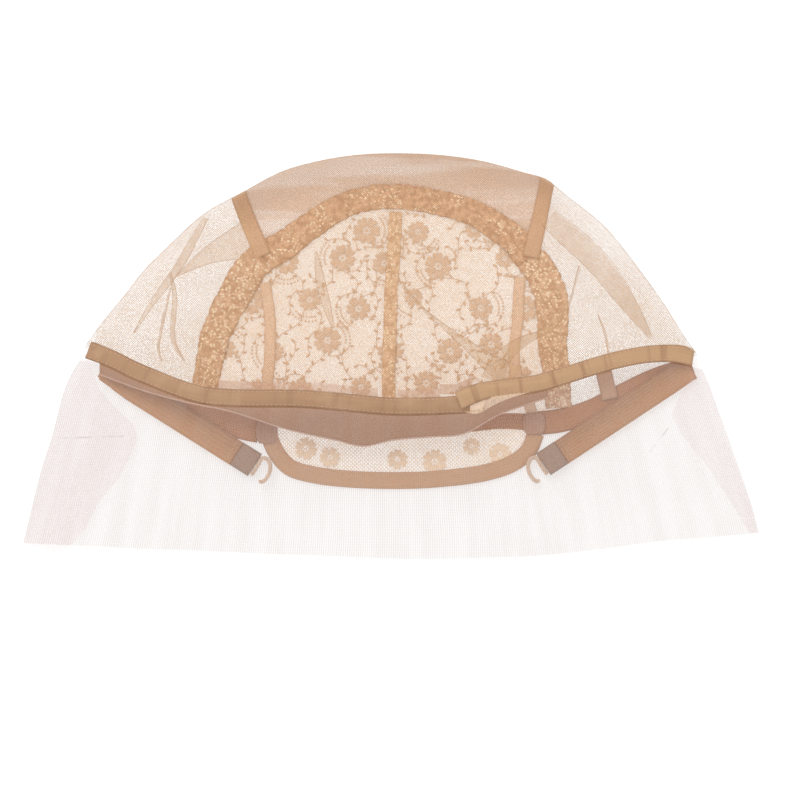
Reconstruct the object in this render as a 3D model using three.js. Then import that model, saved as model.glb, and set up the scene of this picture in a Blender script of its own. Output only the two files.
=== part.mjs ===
// A wig cap with a wide lace front, lying flat on its back layer with the face opening towards -Y.
// Millimetres, +Z up, +X to the wearer's left ear as the cap lies, +Y towards the crown fold.
import * as THREE from "three";

// Overall sizes of the flattened cap
const halfWidth = 141;
const crownRise = 91;
const foldRadiusCrown = 16;
const foldRadiusEar = 4;
const rimHeightCentre = 20;
const rimHeightEar = 6;

// Cloth walls and the clearance between two layers
const netWall = 1;
const tapeWall = 1;
const ribbonWall = 1;
const apronWall = 1;
const layerGap = 0.3;
const seamGap = 0.4;
const foldEase = 0.3;

// Widths of the sewn-on tapes and bands
const ribbonWidth = 7.8;
const ribbonOverlap = 7;
const crownTapeWidth = 8;
const archWidth = 12.4;
const centreTapeWidth = 6.4;
const backTapeWidth = 5.2;
const earBandWidth = 11;
const bindingWidth = 7.8;
const bindingThickness = 2.3;
const strapWidth = 12;
const stayWidth = 7.4;
const tabLength = 10;
const tabWidth = 9.6;

// Strap ends and their open hooks
const loopLength = 9.6;
const loopThickness = 2;
const hookWire = 1.6;
const hookBarLength = 10.4;
const hookReach = 6.6;

// The hem band leans in under the ribbon, and the apron falls from the ribbon to the table
const hemLean = 0.45;
const apronLanding = 0.86;
const apronPleat = 0.7;
const apronPleats = 14;
const flapWidth = 38;
const flapTip = 5;
const facingWidth = 22;

// The front net's ends, as a share of the outline, where the ribbon closes over the ear corners
const netStart = 0.024;

// The fold takes at most this share of a panel, and the front turns flat from this far down it
const foldShare = 0.7;
const frontFlatFrom = 0.25;

// Past its end on the left ribbon, the right one sinks to the rim over its next overlap lengths
const ribbonSinkFrom = 1.3;

// How quickly the apron's pleats die out towards its sides
const pleatSpread = 1.6;

// Creases that stand up in the front net
const creaseHeight = 1.4;
const creaseReach = 6;

// How finely each cloth is divided
const panelDivisions = { crown: 18, side: 14, back: 10, front: 40, nape: 18, hem: 28, apron: 34 };
const foldDivisions = { crown: 5, side: 4, tape: 5, front: 5 };
const flatDivisions = { crown: 3, side: 4, tape: 2, front: 7, nape: 3, hem: 3 };
const tapeDivisions = { leg: 14, top: 26, seam: 12, ear: 12, short: 3, binding: 24, strap: 16, ribbon: 24 };
const flapDivisions = 4;
const facingDivisions = 2;
const turnDivisions = 4;
const apronRows = [0, 0.1, 0.2, 0.3, 0.42, 0.54, 0.66, 0.78, 0.9, 1];
const hookDivisions = 22;
const wireSegments = 4;

// Colours of the cloths
const paleNet = { color: 0xe8d3c2, roughness: 0.8 };
const denseNet = { color: 0xdcbca4, roughness: 0.75 };
const floralLace = { color: 0xeedaca, roughness: 0.75 };
const satinTape = { color: 0xc9a07f, roughness: 0.6 };
const laceElastic = { color: 0xd4ae90, roughness: 0.7 };
const rosyNet = { color: 0xb38a72, roughness: 0.8 };
const strapElastic = { color: 0xc09a7c, roughness: 0.7 };
const greyElastic = { color: 0xa28170, roughness: 0.75 };
const sheerLace = { color: 0xf5f0ec, roughness: 0.85 };
const hookPlastic = { color: 0xd8bfa8, roughness: 0.35 };

// A table is a list of rows under named columns.
function columns(names, rows) {
  const keys = names.split(" ");
  return rows.map((row) => Object.fromEntries(keys.map((key, i) => [key, row[i]])));
}

// Lines in plan: across is a share of halfWidth from the middle, up a share of crownRise from the ears.
const outlineTable = columns("across up", [
  [-1, 0.03], [-0.936, 0.165], [-0.871, 0.285], [-0.806, 0.415], [-0.741, 0.516], [-0.611, 0.7],
  [-0.48, 0.813], [-0.35, 0.918], [-0.219, 0.972], [-0.088, 1], [0.042, 1.005], [0.173, 0.995],
  [0.304, 0.965], [0.435, 0.91], [0.507, 0.878], [0.565, 0.805], [0.696, 0.64], [0.826, 0.388],
  [0.891, 0.245], [0.955, 0.085], [1, -0.01],
]);
const ribbonLeftTable = columns("across up", [
  [-0.987, 0.01], [-0.914, -0.036], [-0.835, -0.099], [-0.759, -0.151], [-0.683, -0.2], [-0.602, -0.238],
  [-0.472, -0.255], [-0.294, -0.261], [-0.164, -0.278], [0, -0.302], [0.113, -0.301], [0.255, -0.287],
]);
const ribbonRightTable = columns("across up", [
  [0.217, -0.272], [0.288, -0.226], [0.353, -0.207], [0.469, -0.181], [0.569, -0.135], [0.662, -0.086],
  [0.737, -0.051], [0.832, -0.02], [0.921, -0.012], [0.985, -0.028],
]);
const hemTable = columns("across up", [
  [-0.949, -0.114], [-0.8, -0.204], [-0.653, -0.271], [-0.522, -0.316], [-0.359, -0.396], [-0.275, -0.428],
  [-0.176, -0.46], [-0.09, -0.489], [0.01, -0.46], [0.133, -0.445], [0.233, -0.428], [0.353, -0.33],
  [0.451, -0.277], [0.509, -0.245],
]);
const archTable = columns("across up", [
  [-0.612, -0.3], [-0.607, -0.174], [-0.591, -0.03], [-0.572, 0.104], [-0.514, 0.295], [-0.475, 0.409],
  [-0.417, 0.507], [-0.351, 0.565], [-0.273, 0.653], [-0.201, 0.731], [-0.119, 0.79], [-0.043, 0.815],
  [0.079, 0.809], [0.144, 0.788], [0.226, 0.757], [0.292, 0.715], [0.358, 0.647], [0.416, 0.575],
  [0.462, 0.486], [0.495, 0.409], [0.524, 0.295], [0.53, 0.176], [0.526, 0.047], [0.539, -0.082],
  [0.548, -0.3],
]);
const backTapeLeftTable = columns("across up", [
  [-0.425, 0.48], [-0.409, 0.331], [-0.396, 0.186], [-0.395, 0.031], [-0.402, -0.128], [-0.41, -0.256],
  [-0.413, -0.36],
]);
const backTapeRightTable = columns("across up", [
  [0.435, 0.52], [0.419, 0.331], [0.415, 0.176], [0.402, 0.006], [0.41, -0.123], [0.44, -0.215],
  [0.462, -0.31],
]);
const centreTapeTable = columns("across up", [
  [0.016, 0.81], [0.01, 0.538], [0, 0.331], [-0.003, 0.124], [-0.008, -0.082], [-0.003, -0.345],
]);
const bindingTable = columns("across up", [
  [-0.396, -0.425], [-0.381, -0.482], [-0.358, -0.538], [-0.325, -0.584], [-0.247, -0.619], [-0.133, -0.64],
  [0.036, -0.647], [0.166, -0.637], [0.306, -0.607], [0.394, -0.561], [0.448, -0.492], [0.472, -0.405],
]);
const napeSeamTable = columns("across up", [
  [-0.612, -0.322], [-0.475, -0.372], [-0.36, -0.385], [-0.2, -0.385], [0, -0.378], [0.2, -0.37],
  [0.459, -0.352], [0.548, -0.342],
]);
const earBandLeftTable = columns("across up", [
  [-0.975, -0.045], [-0.9, -0.135], [-0.786, -0.231], [-0.612, -0.322], [-0.46, -0.386],
]);
const earBandRightTable = columns("across up", [
  [0.985, -0.07], [0.861, -0.135], [0.747, -0.22], [0.648, -0.297], [0.548, -0.342], [0.5, -0.352],
]);
const apronLeftTable = columns("across up", [
  [-1.008, -0.045], [-1.03, -0.1], [-1.058, -0.2], [-1.096, -0.425], [-1.136, -0.624], [-1.187, -0.964],
]);
const apronRightTable = columns("across up", [
  [1.008, -0.09], [1.028, -0.164], [1.064, -0.318], [1.117, -0.547], [1.167, -0.776], [1.188, -0.913],
]);
const apronHemTable = columns("across up", [
  [-1.187, -0.964], [-0.992, -0.979], [-0.797, -0.994], [-0.603, -1.004], [-0.408, -1.019], [-0.214, -1.029],
  [-0.019, -1.042], [0.078, -1.045], [0.272, -1.04], [0.467, -1.029], [0.662, -0.999], [0.856, -0.958],
  [1.051, -0.933], [1.188, -0.913],
]);

// Where the crown tapes leave the outline and where they meet the arch band
const crownTapes = {
  left: { outline: -0.495, arch: { across: -0.422, up: 0.5 } },
  right: { outline: 0.515, arch: { across: 0.458, up: 0.495 } },
};
const straps = {
  left: { ear: { across: -0.92, up: -0.095 }, hook: { across: -0.471, up: -0.543 } },
  right: { ear: { across: 0.93, up: -0.118 }, hook: { across: 0.524, up: -0.538 } },
};
const cornerTabs = { left: { across: -0.404, up: -0.405 }, right: { across: 0.466, up: -0.36 } };
const stayEnds = [{ across: 0.692, up: -0.082 }, { across: 0.714, up: -0.232 }];

// The bends of an open hook: forward as a share of hookReach, aside as a share of half the bar
const hookTable = columns("forward aside", [
  [0, -1], [0, 0], [0, 0.85], [0.35, 1], [0.8, 0.55], [1, -0.2], [0.9, -0.9], [0.62, -1.05],
]);

// The folded edge of the apron: width as a share of flapWidth, down as a share of the way to the hem.
const flapTable = columns("down width", [
  [0, 0.1], [0.13, 0.38], [0.25, 0.9], [0.33, 1], [0.48, 0.95], [0.58, 0.92], [0.72, 0.76], [0.87, 0.66],
  [1, 0.46],
]);
const facingTable = columns("down width", [
  [0, 0.1], [0.3, 1], [0.42, 0.92], [0.6, 0.62], [0.8, 0.4], [1, 0.16],
]);

// Creases of the front net, each a straight ridge between two plan points.
const creaseTable = columns("across up toAcross toUp height", [
  [-0.615, 0.64, -0.83, 0.05, 1], [-0.48, 0.68, -0.72, 0.33, 0.8], [-0.72, 0.33, -0.5, 0.44, 0.7],
  [-0.72, 0.3, -0.68, -0.05, 0.8], [0.53, 0.66, 0.86, 0.12, 1], [0.6, 0.42, 0.36, -0.02, 0.8],
  [0.04, 0.34, 0.24, 0.04, 0.5],
]);

const planPoint = ({ across, up }) => new THREE.Vector3(across * halfWidth, up * crownRise, 0);
const clamp = THREE.MathUtils.clamp;
const lerp = THREE.MathUtils.lerp;
const smooth = (t) => THREE.MathUtils.smoothstep(t, 0, 1);

// A plan line is a fine chain of points with its running length.
function chain(points) {
  const lengths = [0];
  for (let i = 1; i < points.length; i++) lengths.push(lengths[i - 1] + points[i].distanceTo(points[i - 1]));
  return { points, lengths, total: lengths.at(-1) };
}

function planLine(table, pieces = 240) {
  const curve = new THREE.CatmullRomCurve3(table.map(planPoint), false, "centripetal");
  return chain(curve.getSpacedPoints(pieces));
}

function straightLine(from, to, pieces = 40) {
  const points = [];
  for (let i = 0; i <= pieces; i++) points.push(from.clone().lerp(to, i / pieces));
  return chain(points);
}

// The point at a share of a line's length
function at(line, share) {
  const length = clamp(share, 0, 1) * line.total;
  let i = 1;
  while (i < line.points.length - 1 && line.lengths[i] < length) i++;
  const span = line.lengths[i] - line.lengths[i - 1];
  return line.points[i - 1].clone().lerp(line.points[i], clamp((length - line.lengths[i - 1]) / span, 0, 1));
}

// The left-hand normal of a line in plan
function sideOf(line, share) {
  const step = 1 / (line.points.length - 1);
  const ahead = at(line, share + step).sub(at(line, share - step)).normalize();
  return new THREE.Vector3(-ahead.y, ahead.x, 0);
}

function stretch(line, from, to, pieces = 80) {
  const points = [];
  for (let i = 0; i <= pieces; i++) points.push(at(line, lerp(from, to, i / pieces)));
  return chain(points);
}

function shareNear(line, point) {
  let best = 0;
  line.points.forEach((p, i) => {
    if (p.distanceTo(point) < line.points[best].distanceTo(point)) best = i;
  });
  return line.lengths[best] / line.total;
}

// The share of a line past which it stays clear of another line
function clearShare(line, other, distance) {
  const near = (p) => Math.min(...other.points.map((q) => q.distanceTo(p)));
  let i = 0;
  while (i < line.points.length - 1 && near(line.points[i]) < distance) i++;
  return line.lengths[i] / line.total;
}

function heightAt(line, x) {
  const { points } = line;
  let i = 1;
  while (i < points.length - 1 && points[i].x < x) i++;
  const [before, after] = [points[i - 1], points[i]];
  return lerp(before.y, after.y, clamp((x - before.x) / (after.x - before.x), 0, 1));
}

function shareAtAcross(line, across) {
  return shareNear(line, new THREE.Vector3(across, heightAt(line, across), 0));
}

function widthIn(table, down) {
  let i = 1;
  while (i < table.length - 1 && table[i].down < down) i++;
  const [low, high] = [table[i - 1], table[i]];
  return lerp(low.width, high.width, smooth(clamp((down - low.down) / (high.down - low.down), 0, 1)));
}

const outline = planLine(outlineTable);
const rim = planLine([...ribbonLeftTable.slice(0, -1), ...ribbonRightTable.slice(1)]);

// Distance in plan from the crown outline
function edgeDistance(x, y) {
  let best = Infinity;
  const { points } = outline;
  for (let i = 1; i < points.length; i++) {
    const [a, b] = [points[i - 1], points[i]];
    const [dx, dy] = [b.x - a.x, b.y - a.y];
    const t = clamp(((x - a.x) * dx + (y - a.y) * dy) / (dx * dx + dy * dy), 0, 1);
    best = Math.min(best, Math.hypot(x - a.x - t * dx, y - a.y - t * dy));
  }
  return best;
}

const middle = (x) => Math.max(0, 1 - (x / halfWidth) ** 2);
const foldRadius = (x) => foldRadiusEar + (foldRadiusCrown - foldRadiusEar) * middle(x) ** 0.8;
const rimHeight = (x) => rimHeightEar + (rimHeightCentre - rimHeightEar) * middle(x);

// How far the fold's arc has risen above, or sunk below, its centre at a plan point
function foldArc(x, y) {
  const radius = foldRadius(x);
  const out = radius - Math.min(edgeDistance(x, y), radius);
  return Math.sqrt(Math.max(0, radius * radius - out * out));
}

function creases(x, y) {
  let height = 0;
  for (const crease of creaseTable) {
    const [ax, ay] = [crease.across * halfWidth, crease.up * crownRise];
    const [dx, dy] = [crease.toAcross * halfWidth - ax, crease.toUp * crownRise - ay];
    const t = clamp(((x - ax) * dx + (y - ay) * dy) / (dx * dx + dy * dy), 0, 1);
    const off = Math.hypot(x - ax - t * dx, y - ay - t * dy) / creaseReach;
    height = Math.max(height, crease.height * creaseHeight * Math.max(0, 1 - off * off) ** 2);
  }
  return height;
}

const backSurface = (x, y) => foldRadius(x) - foldArc(x, y);

function frontSurface(x, y) {
  const [top, low] = [heightAt(outline, x), heightAt(rim, x)];
  const down = clamp((top - y) / Math.max(top - low, 1), 0, 1);
  const weight = smooth((down - frontFlatFrom) / (1 - frontFlatFrom));
  return lerp(foldRadius(x) + foldArc(x, y), rimHeight(x), weight) + creases(x, y);
}

// Below the ribbon the hem band leans in towards the back layer.
function hemSurface(x, y) {
  return frontSurface(x, y) - hemLean * middle(x) * Math.max(0, heightAt(rim, x) - y);
}

const shares = (pieces) => Array.from({ length: pieces + 1 }, (_, i) => i / pieces);
const raise = (point, surface) => new THREE.Vector3(point.x, point.y, surface(point.x, point.y));

function normalsOf(grid) {
  return grid.map((column, i) => column.map((point, j) => {
    const along = grid[Math.min(i + 1, grid.length - 1)][j].clone().sub(grid[Math.max(i - 1, 0)][j]);
    const across = column[Math.min(j + 1, column.length - 1)].clone().sub(column[Math.max(j - 1, 0)]);
    return along.cross(across).normalize();
  }));
}

// A closed cloth wall between two offsets of a grid of points
function clothWall(grid, low, high) {
  const normals = normalsOf(grid);
  const [nu, nv] = [grid.length, grid[0].length];
  const offset = (level, i) => (typeof level === "function" ? level(i / (nu - 1)) : level);
  const positions = [];
  for (const level of [low, high]) {
    grid.forEach((column, i) => column.forEach((point, j) => {
      const p = point.clone().addScaledVector(normals[i][j], offset(level, i));
      positions.push(p.x, p.y, p.z);
    }));
  }
  const id = (layer, i, j) => layer * nu * nv + i * nv + j;
  const faces = [];
  const quad = (a, b, c, d) => faces.push(a, b, c, a, c, d);
  for (let i = 0; i < nu - 1; i++) {
    for (let j = 0; j < nv - 1; j++) {
      quad(id(1, i, j), id(1, i + 1, j), id(1, i + 1, j + 1), id(1, i, j + 1));
      quad(id(0, i, j), id(0, i, j + 1), id(0, i + 1, j + 1), id(0, i + 1, j));
    }
    quad(id(0, i, 0), id(0, i + 1, 0), id(1, i + 1, 0), id(1, i, 0));
    quad(id(1, i, nv - 1), id(1, i + 1, nv - 1), id(0, i + 1, nv - 1), id(0, i, nv - 1));
  }
  for (let j = 0; j < nv - 1; j++) {
    quad(id(1, 0, j), id(1, 0, j + 1), id(0, 0, j + 1), id(0, 0, j));
    quad(id(0, nu - 1, j), id(0, nu - 1, j + 1), id(1, nu - 1, j + 1), id(1, nu - 1, j));
  }
  const geometry = new THREE.BufferGeometry();
  geometry.setAttribute("position", new THREE.Float32BufferAttribute(positions, 3));
  geometry.setIndex(faces);
  geometry.computeVertexNormals();
  return geometry;
}

// A four-sided patch: low and high run along it, first and last join their ends.
function patch({ low, high, first, last }) {
  const corner = { a: at(low, 0), b: at(low, 1), c: at(high, 0), d: at(high, 1) };
  return (u, v) => at(low, u).multiplyScalar(1 - v)
    .addScaledVector(at(high, u), v)
    .addScaledVector(at(first, v), 1 - u)
    .addScaledVector(at(last, v), u)
    .addScaledVector(corner.a, -(1 - u) * (1 - v))
    .addScaledVector(corner.b, -u * (1 - v))
    .addScaledVector(corner.c, -(1 - u) * v)
    .addScaledVector(corner.d, -u * v);
}

// Rows of a patch whose high side is the crown fold: close together round the fold, even below it
function foldRows(spot, u, kind) {
  const [foldSteps, flatSteps] = [foldDivisions[kind], flatDivisions[kind]];
  const outer = spot(u, 1);
  const length = outer.distanceTo(spot(u, 0));
  const radius = Math.min(foldRadius(outer.x), foldShare * length);
  const rows = [];
  for (let k = 0; k <= foldSteps; k++) {
    const angle = Math.max((k / foldSteps) * (Math.PI / 2), seamGap / 2 / radius);
    rows.push(1 - (radius * (1 - Math.cos(angle))) / length);
  }
  const flat = rows.at(-1);
  const end = seamGap / 2 / length;
  for (let k = 1; k <= flatSteps; k++) rows.push(lerp(flat, end, k / flatSteps));
  return rows.reverse();
}

function foldPatch(spot, surface, kind, across = panelDivisions[kind]) {
  const inset = seamGap / 2 / spot(0, 0.5).distanceTo(spot(1, 0.5));
  const grid = [];
  for (let i = 0; i <= across; i++) {
    const u = lerp(inset, 1 - inset, i / across);
    grid.push(foldRows(spot, u, kind).map((v) => raise(spot(u, v), surface)));
  }
  return grid;
}

function flatPatch(spot, surface, across = panelDivisions.back, up = panelDivisions.back) {
  const insetU = seamGap / 2 / spot(0, 0.5).distanceTo(spot(1, 0.5));
  const insetV = seamGap / 2 / spot(0.5, 0).distanceTo(spot(0.5, 1));
  const grid = [];
  for (const u of shares(across)) {
    const place = (v) => spot(lerp(insetU, 1 - insetU, u), lerp(insetV, 1 - insetV, v));
    grid.push(shares(up).map((v) => raise(place(v), surface)));
  }
  return grid;
}

// A tape follows a plan line on a surface.
function tapeGrid(line, width, surface, steps, { from = 0, to = 1 } = {}) {
  const grid = [];
  for (let i = 0; i <= steps; i++) {
    const share = lerp(from, to, i / steps);
    const [centre, side] = [at(line, share), sideOf(line, share)];
    const place = (half) => centre.clone().addScaledVector(side, half * width);
    grid.push([-0.5, 0, 0.5].map((half) => raise(place(half), surface)));
  }
  return grid;
}

const lace = new THREE.Group();

function add(name, geometry, look) {
  const mesh = new THREE.Mesh(geometry, new THREE.MeshStandardMaterial({ metalness: 0, ...look }));
  mesh.name = name;
  lace.add(mesh);
}

// Levels above the back layer's outer face: the panels, the tapes on them, what lies on the tapes
const onPanel = netWall + layerGap;
const onTape = onPanel + tapeWall + layerGap;

const arch = planLine(archTable);
const centreLine = planLine(centreTapeTable);
const napeSeam = planLine(napeSeamTable);
const earBands = { left: planLine(earBandLeftTable), right: planLine(earBandRightTable) };
const backTapes = { left: planLine(backTapeLeftTable), right: planLine(backTapeRightTable) };
const binding = planLine(bindingTable);

const junction = {};
const tapeFoot = {};
const crownTapeLines = {};
for (const side of ["left", "right"]) {
  const { outline: across, arch: foot } = crownTapes[side];
  junction[side] = shareNear(arch, planPoint(foot));
  tapeFoot[side] = shareAtAcross(outline, across * halfWidth);
  crownTapeLines[side] = straightLine(at(arch, junction[side]), at(outline, tapeFoot[side]));
}

// Shares of the arch line at its feet, and from a foot to the crown where a panel's side becomes its top
const archFoot = { left: 0, right: 1 };
const panelShoulder = { left: 0.52, right: 0.48 };

function crownPanel() {
  const spot = patch({
    low: stretch(arch, junction.left, junction.right),
    high: stretch(outline, tapeFoot.left, tapeFoot.right),
    first: crownTapeLines.left,
    last: crownTapeLines.right,
  });
  add("crown_panel", clothWall(foldPatch(spot, backSurface, "crown"), 0, netWall), denseNet);
}

function sideNets() {
  const left = patch({
    low: stretch(arch, archFoot.left, junction.left),
    high: stretch(outline, 0, tapeFoot.left),
    first: straightLine(at(arch, archFoot.left), at(outline, 0)),
    last: crownTapeLines.left,
  });
  add("side_net_left", clothWall(foldPatch(left, backSurface, "side"), 0, netWall), paleNet);
  const right = patch({
    low: stretch(arch, junction.right, archFoot.right),
    high: stretch(outline, tapeFoot.right, 1),
    first: crownTapeLines.right,
    last: straightLine(at(arch, archFoot.right), at(outline, 1)),
  });
  add("side_net_right", clothWall(foldPatch(right, backSurface, "side"), 0, netWall), paleNet);
}

function backPanels() {
  const crown = shareNear(arch, at(centreLine, 0));
  const bottom = shareNear(napeSeam, at(centreLine, 1));
  const centre = straightLine(at(napeSeam, bottom), at(arch, crown));
  const shoulder = {
    left: lerp(archFoot.left, crown, panelShoulder.left),
    right: lerp(crown, archFoot.right, panelShoulder.right),
  };
  const sideFrom = (corner, foot, top) => chain([corner, ...stretch(arch, foot, top).points]);
  const left = patch({
    low: stretch(napeSeam, 0, bottom),
    high: stretch(arch, shoulder.left, crown),
    first: sideFrom(at(napeSeam, 0), archFoot.left, shoulder.left),
    last: centre,
  });
  add("back_panel_left", clothWall(flatPatch(left, backSurface), 0, netWall), floralLace);
  const right = patch({
    low: stretch(napeSeam, bottom, 1),
    high: stretch(arch, crown, shoulder.right),
    first: centre,
    last: sideFrom(at(napeSeam, 1), archFoot.right, shoulder.right),
  });
  add("back_panel_right", clothWall(flatPatch(right, backSurface), 0, netWall), floralLace);
}

function archBand() {
  const lift = [onPanel, onPanel + tapeWall];
  const gap = seamGap / 2 / arch.total;
  const clear = (earBandWidth / 2 + layerGap) / arch.total;
  const grid = (from, to, steps) => tapeGrid(arch, archWidth, backSurface, steps, { from, to });
  const { leg, top } = tapeDivisions;
  add("arch_leg_left", clothWall(grid(clear, junction.left - gap, leg), ...lift), laceElastic);
  add("arch_band_top", clothWall(grid(junction.left + gap, junction.right - gap, top), ...lift), laceElastic);
  add("arch_leg_right", clothWall(grid(junction.right + gap, 1 - clear, leg), ...lift), laceElastic);
}

function crownTapePair() {
  for (const side of ["left", "right"]) {
    const line = crownTapeLines[side];
    const from = clearShare(line, arch, (archWidth + crownTapeWidth) / 2 + layerGap);
    const half = crownTapeWidth / 2 / outline.total;
    const start = at(line, from);
    const sideways = sideOf(line, 0.5);
    const spot = patch({
      low: straightLine(
        start.clone().addScaledVector(sideways, crownTapeWidth / 2),
        start.clone().addScaledVector(sideways, -crownTapeWidth / 2)
      ),
      high: stretch(outline, tapeFoot[side] - half, tapeFoot[side] + half),
      first: straightLine(
        start.clone().addScaledVector(sideways, crownTapeWidth / 2),
        at(outline, tapeFoot[side] - half)
      ),
      last: straightLine(
        start.clone().addScaledVector(sideways, -crownTapeWidth / 2),
        at(outline, tapeFoot[side] + half)
      ),
    });
    const level = onPanel + foldEase;
    const grid = foldPatch(spot, backSurface, "tape", 2);
    add(`crown_tape_${side}`, clothWall(grid, level, level + tapeWall), satinTape);
  }
}

function backTapePair() {
  for (const side of ["left", "right"]) {
    const line = backTapes[side];
    const from = clearShare(line, arch, (archWidth + backTapeWidth) / 2 + layerGap);
    const grid = tapeGrid(line, backTapeWidth, backSurface, tapeDivisions.seam, { from });
    add(`back_tape_${side}`, clothWall(grid, onPanel, onPanel + tapeWall), satinTape);
  }
  const from = clearShare(centreLine, arch, archWidth / 2 + 2 * layerGap);
  const grid = tapeGrid(centreLine, centreTapeWidth, backSurface, tapeDivisions.seam, { from });
  add("centre_tape", clothWall(grid, onPanel, onPanel + tapeWall), satinTape);
}

function earBandPair() {
  for (const side of ["left", "right"]) {
    const grid = tapeGrid(earBands[side], earBandWidth, backSurface, tapeDivisions.ear);
    add(`ear_band_${side}`, clothWall(grid, onPanel, onPanel + tapeWall), rosyNet);
  }
  const stay = straightLine(planPoint(stayEnds[0]), planPoint(stayEnds[1]));
  const grid = tapeGrid(stay, stayWidth, backSurface, tapeDivisions.short);
  add("ear_stay", clothWall(grid, onTape, onTape + tapeWall), satinTape);
}

function nape() {
  const inner = chain(binding.points.map((p, i) => {
    const side = sideOf(binding, binding.lengths[i] / binding.total);
    return p.clone().addScaledVector(side, bindingWidth / 2 + layerGap);
  }));
  const seamFrom = shareNear(napeSeam, at(inner, 0));
  const seamTo = shareNear(napeSeam, at(inner, 1));
  const seam = stretch(napeSeam, seamFrom, seamTo);
  const spot = (u, v) => at(inner, u).lerp(at(seam, u), v);
  const grid = [];
  for (let i = 0; i <= panelDivisions.nape; i++) {
    const share = i / panelDivisions.nape;
    const [low, high] = [spot(share, 0), spot(share, 1)];
    const end = 1 - seamGap / low.distanceTo(high);
    grid.push(shares(flatDivisions.nape).map((v) => raise(low.clone().lerp(high, end * v), backSurface)));
  }
  add("nape_net", clothWall(grid, 0, netWall), floralLace);
  const edge = tapeGrid(binding, bindingWidth, backSurface, tapeDivisions.binding);
  add("nape_binding", clothWall(edge, 0, bindingThickness), strapElastic);
  for (const side of ["left", "right"]) {
    const centre = planPoint(cornerTabs[side]);
    const half = new THREE.Vector3(0, tabLength / 2, 0);
    const line = straightLine(centre.clone().add(half), centre.clone().sub(half));
    const tab = tapeGrid(line, tabWidth, backSurface, tapeDivisions.short);
    add(`corner_tab_${side}`, clothWall(tab, onTape, onTape + tapeWall), greyElastic);
  }
}

// An adjusting strap runs from the ear to a folded loop at its end. The loop holds the bar of an
// open hook, and the hook's arm rests on the nape binding.
function strap(side) {
  const ends = straps[side];
  const line = straightLine(planPoint(ends.ear), planPoint(ends.hook));
  const loopFrom = 1 - loopLength / 2 / line.total;
  const loopTo = 1 + loopLength / 2 / line.total;
  const to = loopFrom - layerGap / line.total;
  const strapGrid = tapeGrid(line, strapWidth, backSurface, tapeDivisions.strap, { to });
  add(`strap_${side}`, clothWall(strapGrid, onTape, onTape + tapeWall), strapElastic);
  const ahead = at(line, 1).sub(at(line, 0)).normalize();
  const across = new THREE.Vector3(-ahead.y, ahead.x, 0);
  const along = (distance) => at(line, loopFrom).addScaledVector(ahead, distance);
  const loopLine = straightLine(along(0), along(loopLength));
  const loop = tapeGrid(loopLine, strapWidth, backSurface, tapeDivisions.short);
  const loopLow = onTape + (tapeWall - loopThickness) / 2;
  add(`strap_loop_${side}`, clothWall(loop, loopLow, loopLow + loopThickness), greyElastic);
  const inward = side === "left" ? 1 : -1;
  const height = bindingThickness + layerGap + hookWire / 2;
  const place = (forward, sideways) => along(loopLength + layerGap + hookWire / 2 + forward)
    .addScaledVector(across, inward * sideways)
    .setZ(height);
  const bends = hookTable.map(({ forward, aside }) => place(forward * hookReach, (aside * hookBarLength) / 2));
  const route = new THREE.CatmullRomCurve3(bends, false, "centripetal");
  const section = new THREE.Shape();
  section.absarc(0, 0, hookWire / 2, 0, Math.PI * 2, false);
  const wire = new THREE.ExtrudeGeometry(section, {
    extrudePath: route, steps: hookDivisions, curveSegments: wireSegments, bevelEnabled: false,
  });
  add(`hook_${side}`, wire, hookPlastic);
}

// The two lengths of ribbon, and the edges that the net and the lace meet above and below them
const ribbonLines = [planLine(ribbonLeftTable), planLine(ribbonRightTable)];

function beside(line, distance) {
  return chain(line.points.map((p, i) => {
    return p.clone().addScaledVector(sideOf(line, line.lengths[i] / line.total), distance);
  }));
}

function ribbonEdge(upper, from, to, pieces = 160) {
  const distance = ribbonWidth / 2 + layerGap;
  const edges = ribbonLines.map((line) => beside(line, upper ? distance : -distance));
  const points = [];
  for (let i = 0; i <= pieces; i++) {
    const x = lerp(from, to, i / pieces);
    const near = edges.filter((edge) => {
      return x >= edge.points[0].x - ribbonOverlap && x <= edge.points.at(-1).x + ribbonOverlap;
    });
    const heights = (near.length ? near : edges).map((edge) => heightAt(edge, x));
    points.push(new THREE.Vector3(x, upper ? Math.max(...heights) : Math.min(...heights), 0));
  }
  return chain(points);
}

function frontNet() {
  const [from, to] = [netStart, 1 - netStart];
  const high = stretch(outline, from, to, 200);
  const low = ribbonEdge(true, high.points[0].x, high.points.at(-1).x);
  const spot = (u, v) => at(low, u).lerp(at(high, u), v);
  const grid = [];
  for (const u of shares(panelDivisions.front)) {
    grid.push(foldRows(spot, u, "front").map((v) => raise(spot(u, v), frontSurface)));
  }
  add("front_net", clothWall(grid, -netWall, 0), paleNet);
}

function ribbons() {
  const [left, right] = ribbonLines;
  const leftEnd = shareAtAcross(left, right.points[0].x + ribbonOverlap);
  const leftGrid = tapeGrid(left, ribbonWidth, hemSurface, tapeDivisions.ribbon, { to: leftEnd });
  add("ribbon_left", clothWall(leftGrid, -ribbonWall, 0), satinTape);
  const overlap = ribbonOverlap / right.total;
  const sunk = (share) => smooth((share - overlap * ribbonSinkFrom) / overlap);
  const level = (share) => lerp(layerGap, -ribbonWall, sunk(share));
  const rightGrid = tapeGrid(right, ribbonWidth, hemSurface, tapeDivisions.ribbon);
  add("ribbon_right", clothWall(rightGrid, level, (share) => level(share) + ribbonWall), satinTape);
}

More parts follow.
